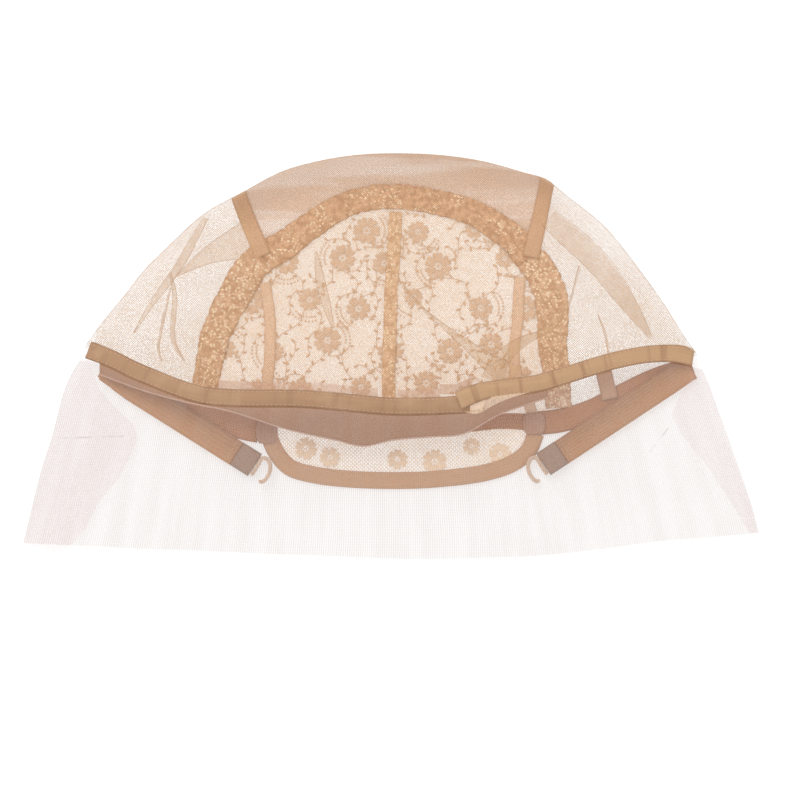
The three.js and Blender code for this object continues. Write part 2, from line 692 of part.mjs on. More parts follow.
function hemBand() {
  const low = planLine(hemTable);
  const top = ribbonEdge(false, low.points[0].x, low.points.at(-1).x);
  const grid = [];
  for (const u of shares(panelDivisions.hem)) {
    const [foot, head] = [at(low, u), at(top, u)];
    grid.push(shares(flatDivisions.hem).map((v) => raise(foot.clone().lerp(head, v), hemSurface)));
  }
  add("hem_band", clothWall(grid, -netWall, 0), rosyNet);
}

// The apron is one cloth with both side edges folded back over it.
function apron() {
  const sides = { left: planLine(apronLeftTable), right: planLine(apronRightTable) };
  const edge = ribbonEdge(false, ribbonLines[0].points[0].x, ribbonLines[1].points.at(-1).x);
  const down = new THREE.Vector3(0, -apronWall / 2, 0);
  const top = chain([at(sides.left, 0), ...edge.points.map((p) => p.clone().add(down)), at(sides.right, 0)]);
  const spot = patch({ low: top, high: planLine(apronHemTable), first: sides.left, last: sides.right });
  const turn = (apronWall + layerGap) / 2;
  const height = (u, v) => {
    const start = rimHeight(at(top, u).x) + layerGap + apronWall / 2;
    const fall = 1 - smooth(v / apronLanding);
    const wave = 1 + Math.sin(apronPleats * Math.PI * u + 4 * v);
    const pleat = apronPleat * wave * Math.sin(Math.PI * v) * middle(pleatSpread * halfWidth * (u - 0.5));
    return lerp(apronWall / 2, start, fall) + pleat;
  };
  const sheet = (u, v) => spot(u, v).setZ(height(u, v));
  const over = (u, v, share) => {
    const point = sheet(u, v);
    return point.setZ(point.z + 2 * turn).setY(point.y - flapTip * share * v ** 4);
  };
  const turnPoint = (u, v, angle, outward) => {
    const point = sheet(u, v);
    point.x += outward * turn * Math.sin(angle);
    point.z += turn * (1 - Math.cos(angle));
    return point;
  };
  const span = (v) => spot(0, v).distanceTo(spot(1, v));
  const grid = [];
  const column = (point) => grid.push(apronRows.map(point));
  const steps = (pieces) => shares(pieces).slice(1);
  for (const share of steps(flapDivisions).reverse()) {
    column((v) => over(share * ((flapWidth * widthIn(flapTable, v)) / span(v)), v, share));
  }
  for (const share of steps(turnDivisions).reverse()) column((v) => turnPoint(0, v, share * Math.PI, -1));
  for (const share of shares(panelDivisions.apron)) column((v) => sheet(share, v));
  for (const share of steps(turnDivisions)) column((v) => turnPoint(1, v, share * Math.PI, 1));
  for (const share of steps(facingDivisions)) {
    column((v) => over(1 - share * ((facingWidth * widthIn(facingTable, v)) / span(v)), v, 0));
  }
  grid.reverse();
  grid.forEach((line) => line.reverse());
  grid.reverse();
  add("lace_apron", clothWall(grid, -apronWall / 2, apronWall / 2), sheerLace);
}

crownPanel();
sideNets();
backPanels();
archBand();
crownTapePair();
backTapePair();
earBandPair();
nape();
strap("left");
strap("right");
frontNet();
ribbons();
hemBand();
apron();

// The origin is at the middle of the underside.
const cap = new THREE.Group();
cap.add(lace);
const box = new THREE.Box3().setFromObject(lace);
const centre = box.getCenter(new THREE.Vector3());
lace.position.set(-centre.x, -centre.y, -box.min.z);

export default cap;
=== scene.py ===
# A wig cap with a wide lace front, lying flat on its back layer, as the photograph shows it.
# Sizes in the sections are millimetres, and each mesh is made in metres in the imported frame.
import math

import bpy
import numpy as np
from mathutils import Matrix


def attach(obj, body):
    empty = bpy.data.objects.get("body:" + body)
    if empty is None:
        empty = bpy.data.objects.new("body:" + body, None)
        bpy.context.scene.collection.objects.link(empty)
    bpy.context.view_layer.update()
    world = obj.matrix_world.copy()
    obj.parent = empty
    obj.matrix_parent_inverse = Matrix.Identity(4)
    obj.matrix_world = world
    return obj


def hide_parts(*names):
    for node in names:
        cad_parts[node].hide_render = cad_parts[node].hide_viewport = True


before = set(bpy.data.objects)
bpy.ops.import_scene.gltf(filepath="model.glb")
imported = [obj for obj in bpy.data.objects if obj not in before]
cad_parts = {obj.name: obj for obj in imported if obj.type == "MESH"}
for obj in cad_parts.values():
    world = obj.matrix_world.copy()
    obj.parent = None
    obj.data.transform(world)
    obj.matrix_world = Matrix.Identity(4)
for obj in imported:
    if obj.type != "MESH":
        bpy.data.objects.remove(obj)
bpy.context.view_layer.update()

# Camera
# The photograph looks down on the cap from in front of the face opening, ten degrees off straight
# down, through a long lens that takes in 368 mm at the cap.
camera_lens = 195.65
camera_tilt = math.radians(10)
camera_distance = 2.0
camera_aim = (0.00407, -0.01938)
camera_data = bpy.data.cameras.new("camera")
camera_data.sensor_width = 36.0
camera_data.lens = camera_lens
camera_data.clip_end = 10.0
camera = bpy.data.objects.new("camera", camera_data)
bpy.context.scene.collection.objects.link(camera)
camera.location = (
    camera_aim[0],
    camera_aim[1] - camera_distance * math.sin(camera_tilt),
    camera_distance * math.cos(camera_tilt),
)
camera.rotation_euler = (camera_tilt, 0.0, 0.0)
bpy.context.scene.camera = camera

# Floor and light
# The cap lies on a plain white surface in even studio light. A broad lamp from the upper left gives
# the folds a soft side, and the rest is the white room.
floor_half = 3.0
floor_grey = 0.42
floor_glow = 0.62
room_light = 0.9
lamp_light = 0.8
lamp_spread = math.radians(40)
lamp_lean = (math.radians(-28), math.radians(-26), 0.0)
floor_data = bpy.data.meshes.new("floor")
floor_data.from_pydata(
    [
        (-floor_half, -floor_half, 0.0),
        (floor_half, -floor_half, 0.0),
        (floor_half, floor_half, 0.0),
        (-floor_half, floor_half, 0.0),
    ],
    [],
    [(0, 1, 2, 3)],
)
floor = bpy.data.objects.new("floor", floor_data)
bpy.context.scene.collection.objects.link(floor)
floor_finish = bpy.data.materials.new("white_paper")
floor_finish.use_nodes = True
floor_shader = floor_finish.node_tree.nodes["Principled BSDF"]
floor_shader.inputs["Base Color"].default_value = (floor_grey, floor_grey, floor_grey, 1.0)
floor_shader.inputs["Roughness"].default_value = 0.9
floor_shader.inputs["Emission Color"].default_value = (1.0, 1.0, 1.0, 1.0)
floor_shader.inputs["Emission Strength"].default_value = floor_glow
floor_data.materials.append(floor_finish)
room = bpy.data.worlds.new("white_room")
room.use_nodes = True
room.node_tree.nodes["Background"].inputs["Color"].default_value = (1.0, 1.0, 1.0, 1.0)
room.node_tree.nodes["Background"].inputs["Strength"].default_value = room_light
bpy.context.scene.world = room
lamp_data = bpy.data.lights.new("broad_lamp", "SUN")
lamp_data.energy = lamp_light
lamp_data.angle = lamp_spread
lamp = bpy.data.objects.new("broad_lamp", lamp_data)
lamp.rotation_euler = lamp_lean
bpy.context.scene.collection.objects.link(lamp)
bpy.context.scene.view_settings.view_transform = "Standard"

# Crown panel
# The crown is a dense knitted net between the two crown tapes. It lies on the table from the arch
# band upwards and turns over at the crown fold, where it meets the front net.
half_width = 141.0
crown_rise = 91.0
fold_radius_crown = 16.0
fold_radius_ear = 4.0
seam_gap = 0.4
layer_gap = 0.3
arch_width = 12.4
plan_shift = (-0.0706, 1.8228, 0.0)
panel_level = 0.8
outline_table = [
    (-1, 0.03), (-0.936, 0.165), (-0.871, 0.285), (-0.806, 0.415), (-0.741, 0.516), (-0.611, 0.7),
    (-0.48, 0.813), (-0.35, 0.918), (-0.219, 0.972), (-0.088, 1), (0.042, 1.005), (0.173, 0.995),
    (0.304, 0.965), (0.435, 0.91), (0.507, 0.878), (0.565, 0.805), (0.696, 0.64), (0.826, 0.388),
    (0.891, 0.245), (0.955, 0.085), (1, -0.01),
]
arch_table = [
    (-0.612, -0.3), (-0.607, -0.174), (-0.591, -0.03), (-0.572, 0.104), (-0.514, 0.295), (-0.475, 0.409),
    (-0.417, 0.507), (-0.351, 0.565), (-0.273, 0.653), (-0.201, 0.731), (-0.119, 0.79), (-0.043, 0.815),
    (0.079, 0.809), (0.144, 0.788), (0.226, 0.757), (0.292, 0.715), (0.358, 0.647), (0.416, 0.575),
    (0.462, 0.486), (0.495, 0.409), (0.524, 0.295), (0.53, 0.176), (0.526, 0.047), (0.539, -0.082),
    (0.548, -0.3),
]
crown_tape_ends = {"left": (-0.495, (-0.422, 0.5)), "right": (0.515, (0.458, 0.495))}


def plan_point(across, up):
    """A plan point from shares of the cap's half width and crown rise."""
    return np.array((across * half_width, up * crown_rise))


def even(points, pieces):
    """The same line with evenly spaced points."""
    run = np.concatenate(([0.0], np.cumsum(np.linalg.norm(np.diff(points, axis=0), axis=1))))
    wanted = np.linspace(0.0, run[-1], pieces + 1)
    return np.stack([np.interp(wanted, run, points[:, k]) for k in range(points.shape[1])], axis=-1)


def plan_line(table, pieces=240):
    """A smooth line through a table of plan shares."""
    knots = np.array(table, float) * (half_width, crown_rise)
    p = np.vstack((2 * knots[0] - knots[1], knots, 2 * knots[-1] - knots[-2]))
    gap = np.linalg.norm(np.diff(p, axis=0), axis=1) ** 0.5
    t = np.linspace(0.0, 1.0, 40, endpoint=False)[:, None]
    spans = []
    for k in range(1, len(p) - 2):
        before, here, after = gap[k - 1], gap[k], gap[k + 1]
        step = p[k + 1] - p[k]
        leave = (p[k] - p[k - 1]) / before - (p[k + 1] - p[k - 1]) / (before + here) + step / here
        arrive = step / here - (p[k + 2] - p[k]) / (here + after) + (p[k + 2] - p[k + 1]) / after
        leave, arrive = leave * here, arrive * here
        bend, twist = 3 * step - 2 * leave - arrive, leave + arrive - 2 * step
        spans.append(p[k] + t * leave + t**2 * bend + t**3 * twist)
    return even(np.vstack(spans + [knots[-1:]]), pieces)


def length_of(line):
    """A line's running length."""
    return np.linalg.norm(np.diff(line, axis=0), axis=1).sum()


def at(line, share):
    """Points at shares of a line's length."""
    run = np.concatenate(([0.0], np.cumsum(np.linalg.norm(np.diff(line, axis=0), axis=1))))
    length = np.clip(share, 0.0, 1.0) * run[-1]
    return np.stack([np.interp(length, run, line[:, k]) for k in range(line.shape[1])], axis=-1)


def side_of(line, share):
    """The left-hand normals of a line in plan."""
    step = 1.0 / (len(line) - 1)
    ahead = at(line, np.asarray(share) + step) - at(line, np.asarray(share) - step)
    ahead = ahead / np.linalg.norm(ahead, axis=-1, keepdims=True)
    return np.stack((-ahead[..., 1], ahead[..., 0]), axis=-1)


def stretch(line, start, end, pieces=80):
    """The part of a line between two shares."""
    return at(line, np.linspace(start, end, pieces + 1))


def straight(start, end, pieces=40):
    """A straight line between two plan points."""
    return np.linspace(start, end, pieces + 1)


def share_near(line, point):
    """The share of a line where it passes a point."""
    nearest = np.argmin(np.linalg.norm(line - point, axis=1))
    return length_of(line[: nearest + 1]) / length_of(line)


def height_at(line, x):
    """How far up a line is at x."""
    return np.interp(x, line[:, 0], line[:, 1])


outline = plan_line(outline_table)
arch = plan_line(arch_table)


def middle(x):
    """One at the middle of the cap, nothing at the ears."""
    return np.maximum(0.0, 1.0 - (x / half_width) ** 2)


def fold_radius(x):
    """The radius of the crown fold."""
    return fold_radius_ear + (fold_radius_crown - fold_radius_ear) * middle(x) ** 0.8


def fold_arc(x, y):
    """How far the fold's arc stands off its centre, from the distance to the crown outline."""
    start, step = outline[:-1], np.diff(outline, axis=0)
    off = np.stack((x, y), axis=-1)[..., None, :] - start
    share = np.clip((off * step).sum(-1) / (step**2).sum(-1), 0.0, 1.0)
    distance = np.linalg.norm(off - share[..., None] * step, axis=-1).min(-1)
    radius = fold_radius(x)
    out = radius - np.minimum(distance, radius)
    return np.sqrt(np.maximum(0.0, radius**2 - out**2))


def back_surface(x, y):
    """The outer face of the back layer."""
    return fold_radius(x) - fold_arc(x, y)


def normals_of(grid):
    """The upward normals of a grid of points."""
    cross = np.cross(np.gradient(grid, axis=0), np.gradient(grid, axis=1))
    return cross / np.maximum(np.linalg.norm(cross, axis=-1, keepdims=True), 1e-9)


def raised(plan, surface, level=0.0):
    """Plan points laid on a surface, a level above it."""
    height = surface(plan[..., 0], plan[..., 1])
    grid = np.concatenate((plan, height[..., None]), axis=-1)
    return grid + normals_of(grid) * level


def panel_levels(plan):
    """The back layer's cloth level: it comes up to the outer face on the crown fold."""
    rise = back_surface(plan[..., 0], plan[..., 1]) / fold_radius(plan[..., 0])
    return (panel_level * (1 - np.clip(rise, 0.0, 1.0) ** 0.5))[..., None]


def cloth_pattern(grid):
    """The weave's own coordinates: plan points, with the length over the fold let out flat."""
    first = grid[:, :1, :2]
    run = np.cumsum(np.linalg.norm(np.diff(grid, axis=1), axis=-1), axis=1)
    run = np.concatenate((np.zeros((len(grid), 1)), run), axis=1)[..., None]
    away = grid[..., :2] - first
    away = away / np.maximum(np.linalg.norm(away, axis=-1, keepdims=True), 1e-6)
    return first + away * run


def patch(low, high, first, last):
    """A four-sided patch: low and high run along it, first and last join their ends."""

    def spot(u, v):
        u, v = np.broadcast_arrays(u, v)
        w, t = u[..., None], v[..., None]
        edges = at(low, u) * (1 - t) + at(high, u) * t + at(first, v) * (1 - w) + at(last, v) * w
        low_corners = low[0] * (1 - w) * (1 - t) + low[-1] * w * (1 - t)
        return edges - (low_corners + high[0] * (1 - w) * t + high[-1] * w * t)

    return spot


def fold_plan(spot, across, fold_steps, flat_steps):
    """Plan points of a patch whose high side is the crown fold, with its rows crowded there."""
    inset = seam_gap / 2 / np.linalg.norm(spot(0.0, 0.5) - spot(1.0, 0.5))
    u = np.linspace(inset, 1 - inset, across + 1)
    outer = spot(u, 1.0)
    length = np.linalg.norm(outer - spot(u, 0.0), axis=-1)
    radius = np.minimum(fold_radius(outer[:, 0]), 0.7 * length)
    angle = np.linspace(0.0, math.pi / 2, fold_steps + 1)[None, :]
    angle = np.maximum(angle, (seam_gap / 2 / radius)[:, None])
    fold = 1 - radius[:, None] * (1 - np.cos(angle)) / length[:, None]
    end = (seam_gap / 2 / length)[:, None]
    share = np.linspace(0.0, 1.0, flat_steps + 1)[None, 1:]
    flat = fold[:, -1:] * (1 - share) + end * share
    rows = np.concatenate((fold, flat), axis=1)[:, ::-1]
    return spot(u[:, None], rows)


def grid_faces(nu, nv, start=0):
    """The quads of a grid, facing up where its first direction crossed with its second does."""
    i, j = np.meshgrid(np.arange(nu - 1), np.arange(nv - 1), indexing="ij")
    a = start + i * nv + j
    return np.stack((a, a + nv, a + nv + 1, a + 1), axis=-1).reshape(-1, 4)


def make_piece(name, points, faces, pattern, finish):
    """An object from points and pattern in millimetres."""
    data = bpy.data.meshes.new(name)
    metres = (np.asarray(points) + plan_shift) * 0.001
    data.from_pydata(metres.tolist(), [], [tuple(int(k) for k in face) for face in faces])
    order = np.zeros(len(data.loops), dtype=np.int32)
    data.loops.foreach_get("vertex_index", order)
    layer = data.uv_layers.new(name="UVMap")
    layer.data.foreach_set("uv", (np.asarray(pattern)[order] * 0.001).ravel())
    data.materials.append(finish)
    data.polygons.foreach_set("use_smooth", np.ones(len(data.polygons), dtype=bool))
    data.update()
    piece = bpy.data.objects.new(name, data)
    bpy.context.scene.collection.objects.link(piece)
    return piece


def cloth_piece(name, layers, finish):
    """A piece of thin cloth from one or more grids, each with its pattern."""
    points, faces, pattern, start = [], [], [], 0
    for grid, own in layers:
        nu, nv = grid.shape[:2]
        points.append(grid.reshape(-1, 3))
        pattern.append(own.reshape(-1, 2))
        faces.append(grid_faces(nu, nv, start))
        start += nu * nv
    return make_piece(name, np.vstack(points), np.vstack(faces), np.vstack(pattern), finish)


def linear(red, green, blue):
    """A screen colour, 0 to 255, as the shader wants it."""
    parts = [c / 255 for c in (red, green, blue)]
    return tuple(p / 12.92 if p <= 0.04045 else ((p + 0.055) / 1.055) ** 2.4 for p in parts) + (1.0,)


class Finish:
    """A finish on one Principled shader, with short ways to add nodes."""

    def __init__(self, name, **fixed):
        self.material = bpy.data.materials.new(name)
        self.material.use_nodes = True
        self.tree = self.material.node_tree
        self.shader = self.tree.nodes["Principled BSDF"]
        for socket, value in fixed.items():
            self.shader.inputs[socket.replace("_", " ")].default_value = value
        self.uv = self.add("ShaderNodeUVMap", uv_map="UVMap").outputs["UV"]
        split = self.add("ShaderNodeSeparateXYZ", {"Vector": self.uv})
        self.along, self.across = split.outputs["X"], split.outputs["Y"]
        self.place = self.add("ShaderNodeTexCoord").outputs["Object"]

    def add(self, kind, inputs=None, **settings):
        made = self.tree.nodes.new(kind)
        for key, value in settings.items():
            setattr(made, key, value)
        for key, value in (inputs or {}).items():
            self.join(value, made.inputs[key])
        return made

    def join(self, value, socket):
        if isinstance(value, bpy.types.NodeSocket):
            self.tree.links.new(value, socket)
        else:
            socket.default_value = value

    def calc(self, operation, *values):
        return self.add("ShaderNodeMath", dict(enumerate(values)), operation=operation).outputs[0]

    def ease(self, value, low, high, to_low=0.0, to_high=1.0):
        """A smooth step of a value from low to high."""
        inputs = {"Value": value, "From Min": low, "From Max": high, "To Min": to_low, "To Max": to_high}
        return self.add("ShaderNodeMapRange", inputs, interpolation_type="SMOOTHSTEP").outputs["Result"]

    def noise(self, scale, detail=2.0, vector=None):
        inputs = {"Vector": vector or self.place, "Scale": scale, "Detail": detail}
        return self.add("ShaderNodeTexNoise", inputs).outputs["Fac"]

    def stretched(self, along, across):
        """Pattern coordinates with their own scale each way."""
        inputs = {"Vector": self.uv, "Scale": (along, across, 1.0)}
        return self.add("ShaderNodeMapping", inputs).outputs["Vector"]

    def ridge(self, value, period, width, soft=0.12):
        """One on lines a period apart, nothing between them."""
        near = self.calc("PINGPONG", self.calc("DIVIDE", value, period), 0.5)
        return self.ease(near, width / 2, width / 2 + soft, 1.0, 0.0)

    def mix(self, factor, first, second):
        made = self.add("ShaderNodeMix", data_type="RGBA")
        colour_a, colour_b, mixed_colour = made.inputs[6], made.inputs[7], made.outputs[2]
        self.join(factor, made.inputs["Factor"])
        self.join(first, colour_a)
        self.join(second, colour_b)
        return mixed_colour

    def bump(self, height, depth, strength=0.6):
        inputs = {"Height": height, "Distance": depth, "Strength": strength}
        self.join(self.add("ShaderNodeBump", inputs).outputs["Normal"], self.shader.inputs["Normal"])

    def colour(self, value):
        self.join(value, self.shader.inputs["Base Color"])

    def alpha(self, value):
        self.join(value, self.shader.inputs["Alpha"])


def net_finish(name, colour, shade, cell, thread, cover, film, blotch=0.2, soft=0.1, streak=0.0):
    """A knitted net of slanting threads, with tiny knots where they cross, an uneven stretch and, if asked,
    broad bands of painted sheen.
    """
    made = Finish(name, Roughness=0.8, Sheen_Weight=0.15)
    wobble = made.calc("MULTIPLY", made.noise(90.0), cell * 0.5)
    first = made.calc("ADD", made.calc("ADD", made.along, made.across), wobble)
    second = made.calc("ADD", made.calc("SUBTRACT", made.along, made.across), wobble)
    one = made.ridge(first, cell, thread, soft)
    two = made.ridge(second, cell, thread, soft)
    broken = made.ease(made.noise(1500.0, 1.0), 0.4, 0.6, 0.25, 1.25)
    mesh = made.calc("MINIMUM", made.calc("MULTIPLY", made.calc("MAXIMUM", one, two), broken), 1.0)
    knot = made.calc("MULTIPLY", one, two)
    uneven = made.ease(made.noise(28.0, 3.0), 0.3, 0.7, 1.0 - blotch, 1.0 + blotch)
    solid = made.calc("ADD", film, made.calc("MULTIPLY", mesh, cover - film))
    made.alpha(made.calc("MINIMUM", made.calc("MULTIPLY", solid, uneven), 1.0))
    tone = made.calc("ADD", made.calc("MULTIPLY", made.noise(160.0), 0.6), made.calc("MULTIPLY", knot, 0.35))
    # streak sets broad bands of painted sheen along the pattern, lighter and darker than the net's own
    # colour.
    band = made.ease(made.noise(1.0, 2.0, made.stretched(9.0, 95.0)), 0.36, 0.64, -streak, streak)
    tone = made.calc("ADD", tone, band)
    made.colour(made.mix(tone, linear(*colour), linear(*shade)))
    made.bump(made.calc("ADD", mesh, knot), 0.00012)
    return made.material


junction, tape_foot, crown_tape_lines = {}, {}, {}
for side, (foot_across, foot) in crown_tape_ends.items():
    junction[side] = share_near(arch, plan_point(*foot))
    foot_x = foot_across * half_width
    tape_foot[side] = share_near(outline, (foot_x, height_at(outline, foot_x)))
    crown_tape_lines[side] = straight(at(arch, junction[side]), at(outline, tape_foot[side]))
# The crown's dense net gets broad bands of painted sheen from its last setting.
dense_net = net_finish("dense_net", (255, 240, 230), (238, 208, 186), 0.0005, 0.5, 0.97, 0.9, 0.04, 0.3, 0.7)
crown_spot = patch(
    stretch(arch, junction["left"], junction["right"]),
    stretch(outline, tape_foot["left"], tape_foot["right"]),
    crown_tape_lines["left"],
    crown_tape_lines["right"],
)
crown_plan = fold_plan(crown_spot, 110, 14, 22)
crown_grid = raised(crown_plan, back_surface, panel_levels(crown_plan))
crown_panel = cloth_piece("crown_panel_net", [(crown_grid, cloth_pattern(crown_grid))], dense_net)
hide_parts("crown_panel")
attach(crown_panel, "root")

# Side nets
# Pale sheer net goes from the arch band round to the fold on each side. It is one layer, so the white
# surface shows through it.
pale_net = net_finish("pale_net", (220, 180, 136), (200, 156, 110), 0.0011, 0.14, 0.6, 0.03)
side_edges = {
    "left": ((0.0, junction["left"]), (0.0, tape_foot["left"])),
    "right": ((junction["right"], 1.0), (tape_foot["right"], 1.0)),
}
for side, ((band_from, band_to), (edge_from, edge_to)) in side_edges.items():
    ear = 0.0 if side == "left" else 1.0
    ear_edge = straight(at(arch, ear), at(outline, ear))
    ends = [ear_edge, crown_tape_lines[side]]
    if side == "right":
        ends.reverse()
    side_spot = patch(stretch(arch, band_from, band_to), stretch(outline, edge_from, edge_to), *ends)
    side_plan = fold_plan(side_spot, 110, 12, 40)
    side_grid = raised(side_plan, back_surface, panel_levels(side_plan))
    side_net = cloth_piece(f"side_net_{side}_cloth", [(side_grid, cloth_pattern(side_grid))], pale_net)
    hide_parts(f"side_net_{side}")
    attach(side_net, "root")

# Back panels
# Two halves of floral stretch lace fill the arch and meet under the centre tape. The ground is a fine
# net, and the flowers of the lace are thicker.
centre_tape_table = [
    (0.016, 0.81), (0.01, 0.538), (0, 0.331), (-0.003, 0.124), (-0.008, -0.082), (-0.003, -0.345),
]
nape_seam_table = [
    (-0.612, -0.322), (-0.475, -0.372), (-0.36, -0.385), (-0.2, -0.385), (0, -0.378), (0.2, -0.37),
    (0.459, -0.352), (0.548, -0.342),
]
arch_shoulder = {"left": 0.52, "right": 0.48}
centre_line = plan_line(centre_tape_table)
nape_seam = plan_line(nape_seam_table)
lace_ground = net_finish("lace_ground", (244, 202, 148), (232, 182, 124), 0.001, 0.2, 0.66, 0.16, 0.12)
crown_share = share_near(arch, centre_line[0])
nape_share = share_near(nape_seam, centre_line[-1])
centre_seam = straight(at(nape_seam, nape_share), at(arch, crown_share))
left_turn = crown_share * arch_shoulder["left"]
right_turn = crown_share + (1.0 - crown_share) * arch_shoulder["right"]
back_spots = {
    "left": patch(
        stretch(nape_seam, 0.0, nape_share),
        stretch(arch, left_turn, crown_share),
        np.vstack((nape_seam[:1], stretch(arch, 0.0, left_turn))),
        centre_seam,
    ),
    "right": patch(
        stretch(nape_seam, nape_share, 1.0),
        stretch(arch, crown_share, right_turn),
        centre_seam,
        np.vstack((nape_seam[-1:], stretch(arch, 1.0, right_turn))),
    ),
}
for side, back_spot in back_spots.items():
    shares = np.linspace(0.002, 0.998, 90)
    back_grid = raised(back_spot(shares[:, None], shares[None, :]), back_surface, panel_level)
    back_panel = cloth_piece(f"back_panel_{side}_lace", [(back_grid, back_grid[..., :2])], lace_ground)
    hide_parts(f"back_panel_{side}")
    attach(back_panel, "root")

# Nape net
# The same lace goes on below the nape seam as a coarser bright net. Its lower edge is sewn under the
# nape binding.
binding_table = [
    (-0.396, -0.425), (-0.381, -0.482), (-0.358, -0.538), (-0.325, -0.584), (-0.247, -0.619), (-0.133, -0.64),
    (0.036, -0.647), (0.166, -0.637), (0.306, -0.607), (0.394, -0.561), (0.448, -0.492), (0.472, -0.405),
]
binding_width = 7.8
binding_tuck = 1.5
binding = plan_line(binding_table)
nape_ground = net_finish("nape_ground", (255, 222, 178), (244, 202, 156), 0.0017, 0.2, 0.78, 0.08)
binding_shares = np.linspace(0.0, 1.0, 241)
nape_edge = binding + side_of(binding, binding_shares) * (binding_width / 2 - binding_tuck)
nape_seam_from, nape_seam_to = (share_near(nape_seam, nape_edge[end]) for end in (0, -1))
nape_seam_part = stretch(nape_seam, nape_seam_from, nape_seam_to, 240)
nape_rows = np.linspace(0.0, 1.0, 40)[None, :, None]
nape_plan = nape_edge[::2, None] * (1 - nape_rows) + nape_seam_part[::2, None] * nape_rows
nape_grid = raised(nape_plan, back_surface, panel_level)
nape_net = cloth_piece("nape_net_lace", [(nape_grid, nape_grid[..., :2])], nape_ground)
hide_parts("nape_net")
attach(nape_net, "root")

# Lace flowers
# The pattern of the stretch lace is knitted in thicker yarn: rosettes with an openwork middle, stems
# with small leaves between them, and sprays of dots. The nape has a few paler rosettes.
flower_step_across = 25.0
flower_step_up = 19.0
flower_row_shift = 4.0
flower_jitter_across = 4.5
flower_jitter_up = 4.0
flower_margin = 5.0
flower_radius = 6.2
flower_level = 0.85
flower_size_range = (0.7, 1.12)
nape_flower_size = 0.9
nape_flower_margin = 3.0
nape_places = [(-39.0, -44.0), (-28.0, -48.0), (3.0, -49.0), (20.0, -50.0), (37.0, -43.0), (50.0, -46.5)]
petal_count = 6
eyelet_bars = 7
gimp_thickness = 0.25
vine_lift = 0.1
vine_bow_range = (1.5, 3.4)
spray_margin = 1.5
spray_rings = (8.4, 10.4)
spray_dots = 8


def lens(centre, long, wide, turn, thickness, sides=12):
    """A low oval dome with a flat underside."""
    angle = np.linspace(0.0, 2 * math.pi, sides, endpoint=False)
    ring = np.stack((long * np.cos(angle), wide * np.sin(angle)), axis=-1)
    spin = np.array(((math.cos(turn), -math.sin(turn)), (math.sin(turn), math.cos(turn))))
    ring = ring @ spin.T
    points = []
    for size, rise in ((1.0, 0.0), (0.96, 0.45), (0.6, 0.9)):
        points.append(np.column_stack((ring * size + centre, np.full(sides, rise * thickness))))
    points.append(np.array([[*centre, thickness], [*centre, 0.0]]))
    faces = []
    for k in range(sides):
        after = (k + 1) % sides
        for row in (0, sides):
            faces.append((row + k, row + after, row + after + sides, row + k + sides))
        faces.append((2 * sides + k, 2 * sides + after, 3 * sides))
        faces.append((after, k, 3 * sides + 1))
    return np.vstack(points), faces


def motif(name, lenses):
    """A small mesh object of several lenses, in metres, to be repeated."""
    points, faces, start = [], [], 0
    for shape in lenses:
        own_points, own_faces = lens(*shape)
        points.append(own_points)
        faces.extend(tuple(k + start for k in face) for face in own_faces)
        start += len(own_points)
    data = bpy.data.meshes.new(name)
    data.from_pydata((np.vstack(points) * 0.001).tolist(), [], faces)
    data.polygons.foreach_set("use_smooth", np.ones(len(data.polygons), dtype=bool))
    return bpy.data.objects.new(name, data)


def repeat_tree(name, inputs):
    """A geometry tree with named inputs; returns it with its first and last nodes."""
    tree = bpy.data.node_groups.new(name, "GeometryNodeTree")
    tree.interface.new_socket("Geometry", in_out="INPUT", socket_type="NodeSocketGeometry")
    for key, kind in inputs.items():
        tree.interface.new_socket(key, in_out="INPUT", socket_type=f"NodeSocket{kind}")
    tree.interface.new_socket("Geometry", in_out="OUTPUT", socket_type="NodeSocketGeometry")
    entry = tree.nodes.new("NodeGroupInput")
    real = tree.nodes.new("GeometryNodeRealizeInstances")
    paint = tree.nodes.new("GeometryNodeSetMaterial")
    leave = tree.nodes.new("NodeGroupOutput")
    tree.links.new(real.outputs["Geometry"], paint.inputs["Geometry"])
    tree.links.new(entry.outputs["Finish"], paint.inputs["Material"])
    tree.links.new(paint.outputs["Geometry"], leave.inputs["Geometry"])
    return tree, entry, real


def grown(name, source, tree, values):
    """The plain mesh piece that a tree grows on a source object, which is then removed."""
    modifier = source.modifiers.new(tree.name, "NODES")
    modifier.node_group = tree
    for item in tree.interface.items_tree:
        if item.in_out == "INPUT" and item.name in values:
            modifier[item.identifier] = values[item.name]
    bpy.context.view_layer.update()
    evaluated = source.evaluated_get(bpy.context.evaluated_depsgraph_get())
    data = bpy.data.meshes.new_from_object(evaluated)
    source.modifiers.remove(modifier)
    bpy.data.objects.remove(source)
    data.name = name
    piece = bpy.data.objects.new(name, data)
    bpy.context.scene.collection.objects.link(piece)
    return piece


def seeds(name, points, turns, sizes):
    """Loose points in millimetres that carry a turn and a size for each copy."""
    data = bpy.data.meshes.new(name)
    data.from_pydata(((np.asarray(points) + plan_shift) * 0.001).tolist(), [], [])
    for key, values in (("turn", turns), ("size", sizes)):
        attribute = data.attributes.new(key, "FLOAT", "POINT")
        attribute.data.foreach_set("value", np.asarray(values, dtype=np.float32))
    source = bpy.data.objects.new(name, data)
    bpy.context.scene.collection.objects.link(source)
    return source


def paths(name, lines):
    """Lines in millimetres as the edges of one object."""
    points, edges, start = [], [], 0
    for line in lines:
        points.append(line)
        edges.extend((k, k + 1) for k in range(start, start + len(line) - 1))
        start += len(line)
    data = bpy.data.meshes.new(name)
    data.from_pydata(((np.vstack(points) + plan_shift) * 0.001).tolist(), edges, [])
    source = bpy.data.objects.new(name, data)
    bpy.context.scene.collection.objects.link(source)
    return source


